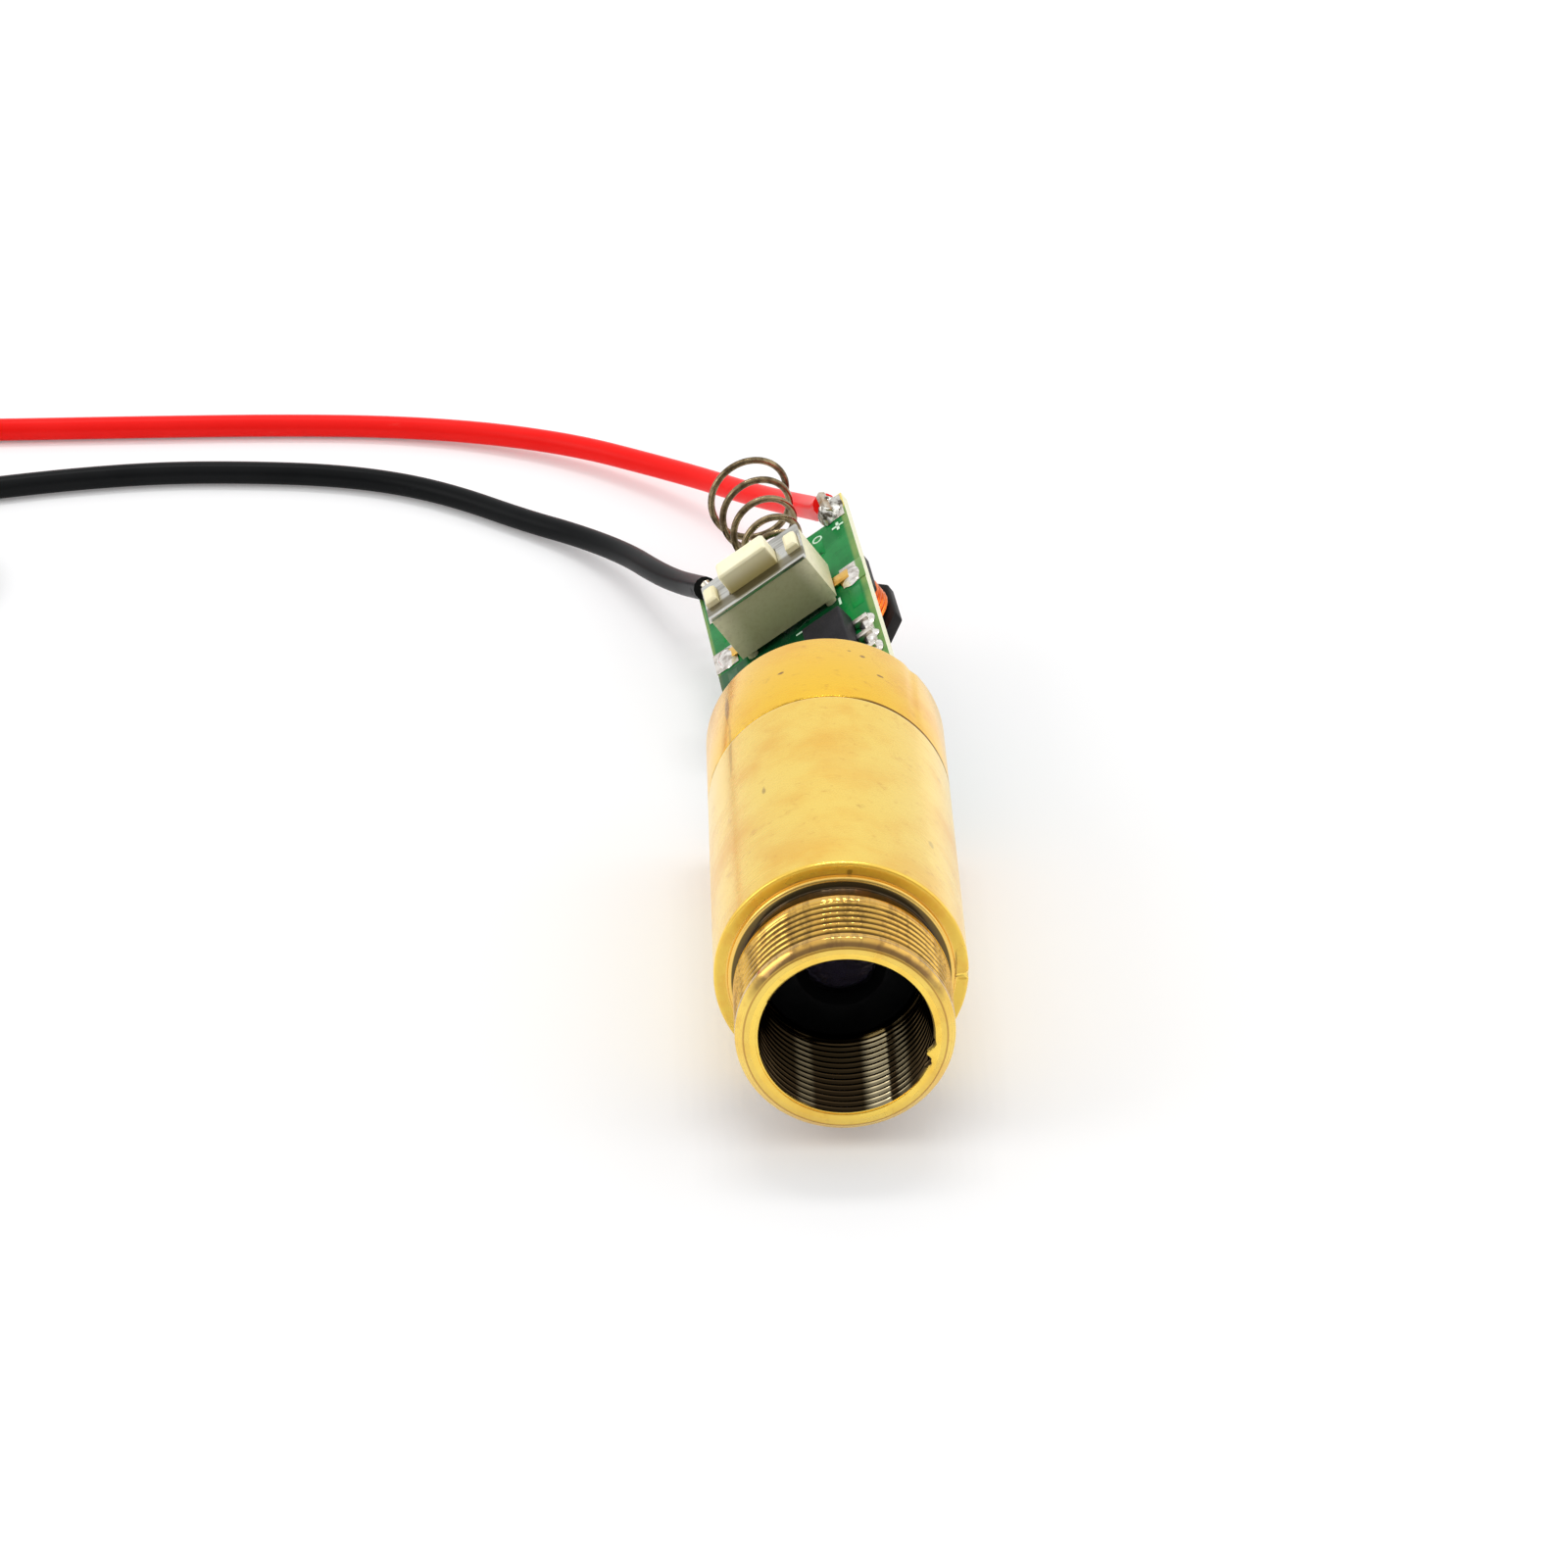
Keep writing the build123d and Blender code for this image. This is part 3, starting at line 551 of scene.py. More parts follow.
class Growth(Tree):
    """A Geometry Nodes tree with named inputs, run on a seed mesh and kept as a plain mesh."""

    def __init__(self, name: str, sizes: dict[str, float | int]) -> None:
        """Opens the tree.

        Args:
            name: the tree's name.
            sizes: its named inputs with the values that they start from.
        """
        super().__init__(bpy.data.node_groups.new(name, "GeometryNodeTree"))
        face = self.tree.interface
        face.new_socket("Geometry", in_out="INPUT", socket_type="NodeSocketGeometry")
        for label, value in sizes.items():
            kind = "NodeSocketInt" if isinstance(value, int) else "NodeSocketFloat"
            face.new_socket(label, in_out="INPUT", socket_type=kind).default_value = value
        face.new_socket("Material", in_out="INPUT", socket_type="NodeSocketMaterial")
        face.new_socket("Geometry", in_out="OUTPUT", socket_type="NodeSocketGeometry")
        self.entry = self.tree.nodes.new("NodeGroupInput")

    def size(self, label: str) -> Socket:
        """A named input."""
        return self.entry.outputs[label]

    def node(self, kind: str, sockets: dict[str, object] | None = None, out: int | str = 0,
             **settings: object) -> Socket:
        """Adds a node and fills its sockets by name.

        Args:
            kind: the node's type.
            sockets: values or sockets to link, by the input's name.
            out: the output that is returned, by its place or by name.
            settings: properties set on the node itself.

        Returns:
            The chosen output socket.
        """
        result = self.add(kind, out=out, **settings)
        for label, value in (sockets or {}).items():
            self.feed(result.node.inputs[label], value)
        return result

    def moved(self, line: Socket, spot: Socket) -> Socket:
        """A line with its points set at a spot for each."""
        return self.node("GeometryNodeSetPosition", {"Geometry": line, "Position": spot})

    def swung(self, radius: Socket, angle: Socket, height: Socket) -> Socket:
        """A point at a radius, an angle and a height about Z.

        Args:
            radius: distance from Z.
            angle: angle round Z in radians.
            height: height along Z.

        Returns:
            The point's vector.
        """
        x, y = (self.times(radius, self.math(way, angle)) for way in ("COSINE", "SINE"))
        return self.node("ShaderNodeCombineXYZ", {"X": x, "Y": y, "Z": height})

    def tube(self, line: Socket, radius: object, sides: int) -> Socket:
        """A round wire along the edges of a mesh line.

        Args:
            line: the mesh line.
            radius: the wire's radius.
            sides: faces round the wire.

        Returns:
            The wire's mesh, closed at its ends.
        """
        curve = self.node("GeometryNodeMeshToCurve", {"Mesh": line})
        ring = self.node("GeometryNodeCurvePrimitiveCircle", {"Resolution": sides, "Radius": radius})
        return self.node("GeometryNodeCurveToMesh", {"Curve": curve, "Profile Curve": ring, "Fill Caps": True},
                         out="Mesh")

    def close(self, geometry: Socket) -> None:
        """Ends the tree in plain geometry with its material.

        Args:
            geometry: what the tree has made.
        """
        real = self.node("GeometryNodeRealizeInstances", {"Geometry": geometry})
        self.end("NodeGroupOutput", "Geometry", self.node(
            "GeometryNodeSetMaterial", {"Geometry": real, "Material": self.size("Material")}))

    def grow(self, finish: Finish, seed: Mesh | None = None, **sizes: float | int) -> Mesh:
        """Runs the tree.

        Args:
            finish: the material that the tree sets.
            seed: the mesh that it starts from, or an empty one.
            sizes: values for named inputs, with underscores for spaces.

        Returns:
            The result as a plain mesh.
        """
        holder = stand("growing", seed or bpy.data.meshes.new("seed"))
        modifier = holder.modifiers.new("growth", "NODES")
        modifier.node_group = self.tree
        values = {label.replace("_", " "): value for label, value in sizes.items()} | {"Material": finish.material}
        for item in self.tree.interface.items_tree:
            if item.in_out == "INPUT" and item.name in values:
                modifier[item.identifier] = values[item.name]
        mesh = evaluated_mesh(holder)
        bpy.data.objects.remove(holder)
        return mesh


def thread_cutter() -> Growth:
    """Makes the tree that cuts a right-handed V thread into the round walls of one radius.

    Returns:
        The tree.
    """
    crest_share, flank_share, wall_tolerance = 0.26, 0.62, 4e-5
    g = Growth("cut_thread", {"Wall radius": 5.12 * MM, "Depth": 0.3 * MM, "Pitch": 0.5 * MM, "Start": 0.0,
                              "End": 4.0 * MM, "Run out": 0.3 * MM, "Side": -1.0})
    x, y, z = g.split(g.node("GeometryNodeInputPosition"))
    radius = g.math("SQRT", g.plus(g.square(x), g.square(z)))
    turn = g.over(g.math("ARCTAN2", x, z), FULL_TURN)
    phase = g.math("FRACT", g.minus(g.over(y, g.size("Pitch")), turn))
    ridge = g.math("ABSOLUTE", g.minus(g.times(phase, 2.0), 1.0))
    groove = g.over(g.minus(ridge, crest_share), flank_share, clamp=True)
    faded_in = g.smooth(y, g.size("Start"), g.plus(g.size("Start"), g.size("Run out")))
    faded_out = g.smooth(y, g.size("End"), g.minus(g.size("End"), g.size("Run out")))
    off_wall = g.math("ABSOLUTE", g.minus(radius, g.size("Wall radius")))
    on_wall = g.math("LESS_THAN", off_wall, wall_tolerance)
    depth = g.times(g.times(groove, g.size("Depth")), g.times(faded_in, faded_out))
    shift = g.over(g.times(g.times(depth, g.size("Side")), on_wall), radius)
    offset = g.node("ShaderNodeCombineXYZ", {"X": g.times(x, shift), "Z": g.times(z, shift)})
    g.close(g.node("GeometryNodeSetPosition", {"Geometry": g.size("Geometry"), "Offset": offset}))
    return g


def wire_winder() -> Growth:
    """Makes the tree that winds a wire about Z: closed turns below zero, then open turns that widen.

    Returns:
        The tree.
    """
    g = Growth("wind_wire", {"Steps": 240, "Closed turns": 1.0, "Open turns": 4.0, "Closed pitch": 0.4 * MM,
                             "Open pitch": 1.75 * MM, "Radius": 1.5 * MM, "Flare": 0.3 * MM, "Bow": 0.4 * MM,
                             "Wire radius": 0.17 * MM})
    line = g.node("GeometryNodeMeshLine", {"Count": g.size("Steps")}, mode="OFFSET")
    part = g.over(g.node("GeometryNodeInputIndex"), g.minus(g.size("Steps"), 1.0))
    turns = g.minus(g.times(part, g.plus(g.size("Closed turns"), g.size("Open turns"))), g.size("Closed turns"))
    opened = g.most(turns, 0.0)
    height = g.plus(g.times(opened, g.size("Open pitch")),
                    g.times(g.math("MINIMUM", turns, 0.0), g.size("Closed pitch")))
    share = g.over(opened, g.size("Open turns"))
    radius = g.plus(g.size("Radius"), g.times(share, g.size("Flare")))
    radius = g.plus(radius, g.times(g.square(share), g.size("Bow")))
    wound = g.moved(line, g.swung(radius, g.times(turns, FULL_TURN), height))
    g.close(g.tube(wound, g.size("Wire radius"), 12))
    return g


def strand_layer() -> Growth:
    """Makes the tree that lays twisted strands round a straight core strand along Z.

    Returns:
        The tree.
    """
    points, sides = 26, 8
    g = Growth("lay_strands", {"Strands": 6, "Length": 4.0 * MM, "Lay radius": 0.2 * MM,
                               "Strand radius": 0.1 * MM, "Twist": 1.0})
    line = g.node("GeometryNodeMeshLine", {"Count": points}, mode="OFFSET")
    part = g.over(g.node("GeometryNodeInputIndex"), float(points - 1))
    angle = g.times(g.times(part, g.size("Twist")), FULL_TURN)
    height = g.times(part, g.size("Length"))
    outer = g.tube(g.moved(line, g.swung(g.size("Lay radius"), angle, height)), g.size("Strand radius"), sides)
    core = g.tube(g.moved(line, g.node("ShaderNodeCombineXYZ", {"Z": height})), g.size("Strand radius"), sides)
    ends = g.node("GeometryNodeMeshLine", {"Count": g.size("Strands"), "Offset": (0, 0, 0)}, mode="OFFSET")
    round_it = g.over(g.times(g.node("GeometryNodeInputIndex"), FULL_TURN), g.size("Strands"))
    spun = g.node("ShaderNodeCombineXYZ", {"Z": round_it})
    laid = g.node("GeometryNodeInstanceOnPoints", {"Points": ends, "Instance": outer, "Rotation": spun})
    both = g.tree.nodes.new("GeometryNodeJoinGeometry")
    g.tree.links.new(core, both.inputs[0])
    g.tree.links.new(laid, both.inputs[0])
    g.close(both.outputs[0])
    return g


def via_setter() -> Growth:
    """Makes the tree that sets a plated ring on each point of the seed mesh.

    Returns:
        The tree.
    """
    g = Growth("set_vias", {"Ring radius": 0.32 * MM, "Wall": 0.07 * MM})
    path = g.node("GeometryNodeCurvePrimitiveCircle", {"Resolution": 28, "Radius": g.size("Ring radius")})
    section = g.node("GeometryNodeCurvePrimitiveCircle", {"Resolution": 8, "Radius": g.size("Wall")})
    ring = g.node("GeometryNodeCurveToMesh", {"Curve": path, "Profile Curve": section}, out="Mesh")
    g.close(g.node("GeometryNodeInstanceOnPoints", {"Points": g.size("Geometry"), "Instance": ring}))
    return g


# ---------------------------------------------------------------- finishes


class Surface(Finish):
    """A finish with helpers for spots of dirt and for the circuit board's axes."""

    def spot(self, mark: Mark) -> Socket:
        """A worn or dirty place with a ragged edge.

        Args:
            mark: where it is, how far it reaches and how strong it is.

        Returns:
            The mark's strength inside it, and 0 outside.
        """
        scale = tuple(1 / (reach * MM) for reach in mark.reach)
        shift = tuple(-centre / reach for centre, reach in zip(mark.centre, mark.reach))
        near = self.scaled(scale, shift=shift)
        rough = self.add("ShaderNodeTexNoise", self.place, 2600.0, 3.0, 0.6, out="Color")
        jitter = self.add("ShaderNodeVectorMath", rough, (0.5, 0.5, 0.5), operation="SUBTRACT")
        ragged = self.add("ShaderNodeVectorMath", near, jitter, operation="ADD")
        far = self.add("ShaderNodeVectorMath", ragged, operation="LENGTH", out="Value")
        return self.times(self.flip(self.smooth(far, 0.45, 1.0)), mark.strength)

    def on_board(self) -> tuple[Socket, ...]:
        """The place on the circuit board's own axes in metres: across, along and up.

        Returns:
            The three parts of the place.
        """
        back = BOARD.turn.transposed()
        shift = back @ Vector((0, -BOARD.collar_end * MM, 0))
        return self.split(self.scaled((1, 1, 1), turn=tuple(back.to_euler("XYZ")), shift=tuple(shift)))

    def leftward(self, w: Socket) -> Socket:
        """How far a place lies to the board's left, from its place across."""
        return self.times(w, -1.0)

    def waxy(self) -> None:
        """Lets some light spread below the surface, as in a pale moulding."""
        self.set(Subsurface_Weight=0.12, Subsurface_Radius=(0.6, 0.5, 0.35), Subsurface_Scale=0.0004)


class Brass(Surface):
    """Turned brass: fine lathe rings, cloudy tarnish, brown specks, and darker work on the nose with painted light
    and shade.
    """

    def __init__(self, name: str, marks: Sequence[Mark], light: Point, warm: Point, nose: bool = False) -> None:
        """Builds the finish.

        Args:
            name: the material's name.
            marks: brown specks, streaks and dents.
            light: the clean brass's colour.
            warm: the colour of its clouds.
            nose: whether it covers the threaded nose, which is darker than the body and carries painted light and
                shade.
        """
        super().__init__(name, Slot.BRASS)
        cloud = self.noise(210.0, 4.0, 0.6)
        base = self.blend(self.smooth(cloud, 0.42, 0.72), light, warm)
        pale = self.smooth(self.noise(90.0, 2.0, 0.5), 0.5, 0.75)
        base = self.blend(self.times(pale, 0.35), base, tint(250, 222, 118))
        fine = self.noise(1500.0, 3.0, 0.7)
        base = self.blend(self.times(self.smooth(fine, 0.56, 0.78), 0.35), base, tint(196, 130, 44))
        rings = self.stretched((45, 11000, 45), 3.0, 0.65)
        wide_rings = self.stretched((20, 2300, 20), 2.0, 0.5)
        rough = self.ranged(self.times(rings, cloud), 0.1, 0.45, 0.2, 0.36)
        bright: Socket | float = 1.0
        if nose:
            base, rough, bright = self.nose(base, rough)
        for mark in marks:
            base = self.blend(self.spot(mark), base, tint(98, 58, 24))
        # painted shade in the seam between barrel and collar
        base = self.seam(base, fine)
        bump = self.bump(wide_rings, 0.000004, 0.5)
        bump = self.bump(rings, 0.000003, 0.6, bump)
        bump = self.bump(self.noise(3800.0, 3.0, 0.7), 0.0000025, 0.35, bump)
        self.set(Base_Color=base, Metallic=bright, Roughness=rough, Normal=bump, Coat_Weight=0.25,
                 Coat_Roughness=0.15, Coat_IOR=1.5)

    def seam(self, base: Socket, fine: Socket) -> Socket:
        """Paints shade into the seam between barrel and collar, in dots on the left and whole on the right.

        Args:
            base: the colour so far.
            fine: the fine noise that the dots follow.

        Returns:
            The colour with the seam.
        """
        x, y, _ = self.split(self.place)
        dotted = self.times(self.smooth(fine, 0.45, 0.6), 0.3)
        dark = self.most(self.times(self.rise(x, 0.4, 2.2), 0.85), dotted)
        # painted shade in the seam's gap, whole on the right and in dots on the left
        gap = self.times(self.band(y, 22.58, 22.62, 22.8, 22.84), dark)
        return self.blend(gap, base, tint(104, 58, 18))

    def nose(self, base: Socket, rough: Socket) -> tuple[Socket, ...]:
        """Darkens the threads and the chamfer, and paints shade into the relief and the bore, a highlight line before
        the shoulder, light on the shoulder and reflections in the bore.

        Args:
            base: the body's colour.
            rough: the body's roughness.

        Returns:
            The colour and the roughness with the nose's own, and how metallic each place is: the shoulder and the
            low part of the chamfer are dulled.
        """
        x, y, z = self.split(self.place)
        radius = self.math("SQRT", self.plus(self.square(x), self.square(z)))
        outside = self.rise(radius, 4.4, 4.5)
        behind_chamfer = self.rise(y, 0.4, 0.46)
        worked = self.times(self.band(y, 0.03, 0.1, 5.5, 5.56), outside)
        worked = self.times(worked, self.most(self.rise(z, 1.5, 3.6), behind_chamfer))
        base = self.blend(self.times(worked, 0.6), base, tint(206, 150, 76))
        root = self.drop(radius, 4.9, 5.07)
        base = self.blend(self.times(self.times(worked, root), 0.8), base, tint(84, 52, 24))
        # painted shade on the floor of the relief groove
        relief = self.times(self.band(y, 4.36, 4.44, 5.9, 6.0), outside)
        relief = self.times(relief, self.drop(radius, 5.14, 5.24))
        base = self.blend(self.times(relief, 0.9), base, tint(58, 50, 36))
        rim = self.times(self.band(radius, 4.66, 4.71, 4.74, 4.8), self.drop(y, 0.08, 0.14))
        base = self.blend(self.times(rim, 0.6), base, tint(150, 84, 30))
        streak = self.smooth(self.stretched((1500, 260, 1500), 3.0, 0.7), 0.44, 0.66)
        base = self.blend(self.times(self.times(worked, streak), 0.5), base, tint(104, 70, 34))
        # painted highlight: a pale ring along the fillet before the shoulder
        line = self.times(self.band(y, 5.5, 5.54, 5.84, 5.88), self.rise(radius, 5.14, 5.22))
        shoulder = self.times(line, self.rise(radius, 5.4, 5.46))
        base = self.blend(line, base, tint(246, 202, 104))
        # painted light on the shoulder face: paler low down, deeper gold at its top
        gold = self.blend(self.rise(z, 1.0, 4.6), tint(255, 216, 84), tint(255, 206, 66))
        base = self.blend(self.times(shoulder, 0.95), base, gold)
        base = self.blend(self.times(self.times(shoulder, streak), 0.2), base, tint(240, 150, 40))
        # painted shade: the bore's wall darkened almost to black
        bore = self.times(self.rise(y, 0.1, 0.3), self.flip(outside))
        base = self.painted_bore_reflections(self.blend(self.times(bore, 0.97), base, tint(42, 28, 18)), bore, x, z)
        chamfer = self.times(self.times(self.drop(y, 0.4, 0.46), outside), self.flip(self.times(worked, 0.4)))
        bright = self.flip(self.times(self.most(shoulder, chamfer), 0.55))
        return base, self.ranged(self.most(worked, bore), 0.0, 1.0, rough, 0.085), bright

    def painted_bore_reflections(self, base: Socket, bore: Socket, x: Socket, z: Socket) -> Socket:
        """Paints pale reflections in streaks along the inner thread.

        Args:
            base: the colour so far.
            bore: 1 inside the bore.
            x: the place across.
            z: the place upwards.

        Returns:
            The colour with the streaks.
        """
        angle = self.math("DEGREES", self.math("ARCTAN2", z, x))
        # painted reflections: pale streaks at set angles round the bore
        for start, full, fade, end, share in ((-78, -68, -59.5, -57.5, 0.95), (-54, -50, -46, -40, 0.22),
                                              (-124, -118, -113, -108, 0.18)):
            shine = self.times(self.band(angle, start, full, fade, end, 1.0), share)
            base = self.blend(self.times(shine, bore), base, tint(250, 232, 186))
        return base


class Metal(Surface):
    """A plain metal with a clouded colour, a grain and small bumps."""

    def __init__(self, name: str, slot: Slot, light: Point, dark: Point, rough: Spot = (0.25, 0.45),
                 grain: Point = (900, 900, 900), bump: float = 0.000003, blotch: Spot = (0.4, 0.7)) -> None:
        """Builds the finish.

        Args:
            name: the material's name.
            slot: the record's slot.
            light: the clean metal's colour.
            dark: the tarnished metal's colour.
            rough: roughness of the clean and of the tarnished metal.
            grain: the pattern's scale along the three axes.
            bump: height of the grain in metres.
            blotch: noise values between which the tarnish sets in.
        """
        super().__init__(name, slot)
        pattern = self.stretched(grain, 4.0, 0.62)
        tarnish = self.smooth(pattern, *blotch)
        self.set(Base_Color=self.blend(tarnish, light, dark), Metallic=1.0,
                 Roughness=self.ranged(tarnish, 0.0, 1.0, *rough), Normal=self.bump(pattern, bump, 0.8))


class Moulded(Surface):
    """A moulded, fired or painted solid with a faint grain and uneven gloss."""

    def __init__(self, name: str, slot: Slot, high: Point, low: Point, rough: float = 0.5, scale: float = 900.0,
                 bump: float = 0.000004, coat: float = 0.0, gloss: float = 0.35) -> None:
        """Builds the finish.

        Args:
            name: the material's name.
            slot: the record's slot.
            high: the main colour.
            low: the colour of its darker patches.
            rough: the middle roughness.
            scale: cycles a metre of the patches.
            bump: height of the grain in metres.
            coat: weight of a clear gloss coat.
            gloss: strength of its own reflection.
        """
        super().__init__(name, slot)
        patches = self.smooth(self.noise(scale, 3.0, 0.6), 0.38, 0.7)
        grain = self.noise(scale * 9, 3.0, 0.7)
        base = self.blend(patches, high, low)
        base = self.blend(self.times(self.smooth(grain, 0.6, 0.85), 0.25), base, low)
        self.set(Base_Color=base, Roughness=self.ranged(grain, 0.3, 0.7, rough - 0.08, rough + 0.1),
                 Normal=self.bump(grain, bump, 0.7), Coat_Weight=coat, Coat_Roughness=0.15,
                 Specular_IOR_Level=gloss)


class SwitchShell(Surface):
    """The switch housing's cream plastic, darker towards the board, with painted shade on its front face."""

    def __init__(self) -> None:
        """Builds the finish."""
        super().__init__("switch_shell", Slot.HOUSING)
        w, l, n = self.on_board()
        low, front = self.drop(n, 0.3, 3.2), self.drop(l, 11.9, 12.25)
        speck = self.smooth(self.noise(4200.0, 3.0, 0.7), 0.42, 0.72)
        base = self.blend(self.times(low, 0.5), tint(237, 231, 197), tint(206, 199, 149))
        # painted shade on the front face, less towards its left and right sides
        left = self.times(self.rise(self.leftward(w), 1.5, 3.05), 0.5)
        right = self.times(self.rise(w, 1.9, 3.1), 0.8)
        middle = self.minus(0.85, self.plus(left, right))
        base = self.blend(self.times(front, middle), base, tint(147, 145, 107))
        base = self.blend(self.times(speck, 0.22), base, tint(126, 119, 85))
        self.set(Base_Color=base, Roughness=0.46, Normal=self.bump(self.noise(5200.0, 3.0, 0.7), 0.000006, 0.6))
        self.waxy()


class SwitchCover(Surface):
    """Stamped steel, bright along its front lip, with painted shade between the lip and the button."""

    def __init__(self) -> None:
        """Builds the finish."""
        super().__init__("stamped_steel", Slot.STEEL)
        _, l, _ = self.on_board()
        # painted shade on the cover between its lip and the button
        lip_shade = self.times(self.rise(l, 11.98, 12.06), self.drop(l, 12.75, 13.0))
        grain = self.stretched((300, 2600, 300), 3.0, 0.6)
        base = self.blend(self.smooth(grain, 0.4, 0.7), tint(206, 206, 200), tint(160, 158, 150))
        base = self.blend(self.times(lip_shade, 0.8), base, tint(112, 104, 76))
        self.set(Base_Color=base, Metallic=1.0, Roughness=self.ranged(grain, 0.3, 0.7, 0.24, 0.4),
                 Normal=self.bump(grain, 0.000003, 0.7))


class SwitchPlunger(Surface):
    """The button's and posts' cream plastic, with painted shade on their front faces, deepest low down."""

    def __init__(self) -> None:
        """Builds the finish."""
        super().__init__("cream_plastic", Slot.CREAM)
        w, l, n = self.on_board()
        low = self.drop(n, 3.5, 4.55)
        patches = self.smooth(self.noise(600.0, 3.0, 0.6), 0.4, 0.7)
        base = self.blend(self.times(patches, 0.4), tint(250, 243, 210), tint(240, 226, 172))
        # painted shade on the front faces, weaker on the posts and deepest low down
        posts = self.rise(self.math("ABSOLUTE", w), 1.9, 2.1)
        front = self.times(self.drop(l, 12.9, 13.0), self.flip(self.times(posts, 0.7)))
        painted_front_shade = self.times(front, self.plus(0.3, self.times(low, 0.65)))
        base = self.blend(painted_front_shade, base, tint(147, 135, 81))
        base = self.blend(self.times(low, 0.2), base, tint(223, 202, 126))
        self.set(Base_Color=base, Roughness=0.42, Normal=self.bump(self.noise(4500.0, 3.0, 0.7), 0.000004, 0.6),
                 Specular_IOR_Level=0.3)
        self.waxy()


class SolderMask(Surface):
    """Green solder mask over copper and laminate, worn to olive along both edges and to bare yellow at a corner, with
    painted shadow before the switch and painted shade at its left.
    """

    def __init__(self, name: str, lifted: bool = False) -> None:
        """Builds the finish.

        Args:
            name: the material's name.
            lifted: whether it lies over a copper track, where it looks lighter.
        """
        super().__init__(name, Slot.BOARD)
        w, l, _ = self.on_board()
        cloud = self.smooth(self.noise(500.0, 3.0, 0.6), 0.35, 0.7)
        plain = (tint(6, 140, 62), tint(5, 119, 52)) if lifted else (tint(5, 130, 57), tint(3, 109, 48))
        base = self.blend(cloud, *plain)
        edge = self.plus(self.rise(w, 4.3, 4.5), self.rise(self.leftward(w), 4.5, 4.66), clamp=True)
        ragged = self.times(edge, self.ranged(self.noise(900.0), 0.3, 0.6, 0.45, 0.9))
        base = self.blend(ragged, base, tint(126, 154, 81))
        # painted shadow of the switch on the mask in front of its foot
        switch_shadow = self.times(self.rise(l, 9.6, 10.8), self.drop(l, 13.0, 13.6))
        switch_shadow = self.times(switch_shadow, self.drop(self.math("ABSOLUTE", w), 2.6, 3.3))
        base = self.blend(self.times(switch_shadow, 0.8), base, tint(14, 43, 29))
        # painted shade along the board's left edge beside the switch
        left = self.times(self.rise(self.leftward(w), 2.8, 3.3), self.drop(l, 12.3, 12.6))
        base = self.blend(self.times(left, 0.7), base, tint(50, 71, 57))
        corner = self.times(self.rise(l, 20.3, 20.9), self.rise(w, 4.2, 4.5))
        base = self.blend(corner, base, tint(235, 216, 116))
        self.set(Base_Color=base, Roughness=self.ranged(cloud, 0.0, 1.0, 0.2, 0.34),
                 Normal=self.bump(self.noise(1300.0, 2.0, 0.5), 0.000008, 0.5), Specular_IOR_Level=0.1)


class PadPlates(Surface):
    """Tinned pads, with mask over their outer edge along the board's right side."""

    def __init__(self) -> None:
        """Builds the finish."""
        super().__init__("tinned_pads", Slot.TIN)
        w, l, _ = self.on_board()
        cloud = self.smooth(self.noise(1500.0, 3.0, 0.6), 0.4, 0.65)
        base = self.blend(cloud, tint(234, 228, 220), tint(196, 188, 178))
        outer = self.times(self.rise(w, 4.3, 4.42), self.drop(l, 19.0, 19.4))
        base = self.blend(outer, base, tint(112, 154, 81))
        self.set(Base_Color=base, Metallic=self.flip(outer), Specular_IOR_Level=0.2,
                 Roughness=self.ranged(cloud, 0.0, 1.0, 0.28, 0.46), Normal=self.bump(cloud, 0.000005, 0.6))


class Laminate(Surface):
    """The sawn edge of glass laminate: pale, layered and dusty."""

    def __init__(self) -> None:
        """Builds the finish."""
        super().__init__("laminate_edge", Slot.BOARD)
        layer = 0.11 * MM
        _, _, n = self.on_board()
        layers = self.math("SINE", self.times(n, FULL_TURN / layer))
        grain = self.noise(4200.0, 4.0, 0.7)
        base = self.blend(self.smooth(layers, -0.2, 0.9), tint(237, 235, 211), tint(223, 223, 180))
        base = self.blend(self.times(self.smooth(grain, 0.5, 0.8), 0.5), base, tint(237, 237, 227))
        self.set(Base_Color=base, Roughness=0.72, Normal=self.bump(grain, 0.00001, 0.8))


class Glass(Surface):
    """Clear glass with a faint coating colour and dust in its gloss."""

    def __init__(self) -> None:
        """Builds the finish."""
        super().__init__("coated_glass", Slot.GLASS)
        dust = self.smooth(self.noise(2600.0, 4.0, 0.7), 0.6, 0.8)
        self.set(Base_Color=self.blend(dust, tint(226, 214, 236), tint(200, 196, 210)),
                 Roughness=self.ranged(dust, 0.0, 1.0, 0.02, 0.12), Transmission_Weight=0.92, IOR=1.6,
                 Coat_Weight=0.3, Coat_Tint=(*tint(150, 120, 210), 1.0))


class Insulation(Surface):
    """Extruded PVC: a clean colour, faint draw lines, a waxy gloss and a few scuffs."""

    def __init__(self, name: str, slot: Slot, colour: Point, deep: Point, scuff: Point, gloss: float) -> None:
        """Builds the finish.

        Args:
            name: the material's name.
            slot: the record's slot.
            colour: the main colour.
            deep: the colour of denser patches.
            scuff: the colour of rubbed places.
            gloss: the specular level.
        """
        super().__init__(name, slot)
        cloud = self.smooth(self.noise(160.0, 3.0, 0.55), 0.38, 0.68)
        base = self.blend(cloud, colour, deep)
        rubbed = self.smooth(self.stretched((500, 900, 1500), 4.0, 0.7), 0.62, 0.78)
        base = self.blend(self.times(rubbed, 0.3), base, scuff)
        lines = self.stretched((260, 4200, 4200), 3.0, 0.6)
        self.set(Base_Color=base, Roughness=self.ranged(rubbed, 0.0, 1.0, 0.34, 0.55),
                 Normal=self.bump(lines, 0.000004, 0.5), Specular_IOR_Level=gloss)


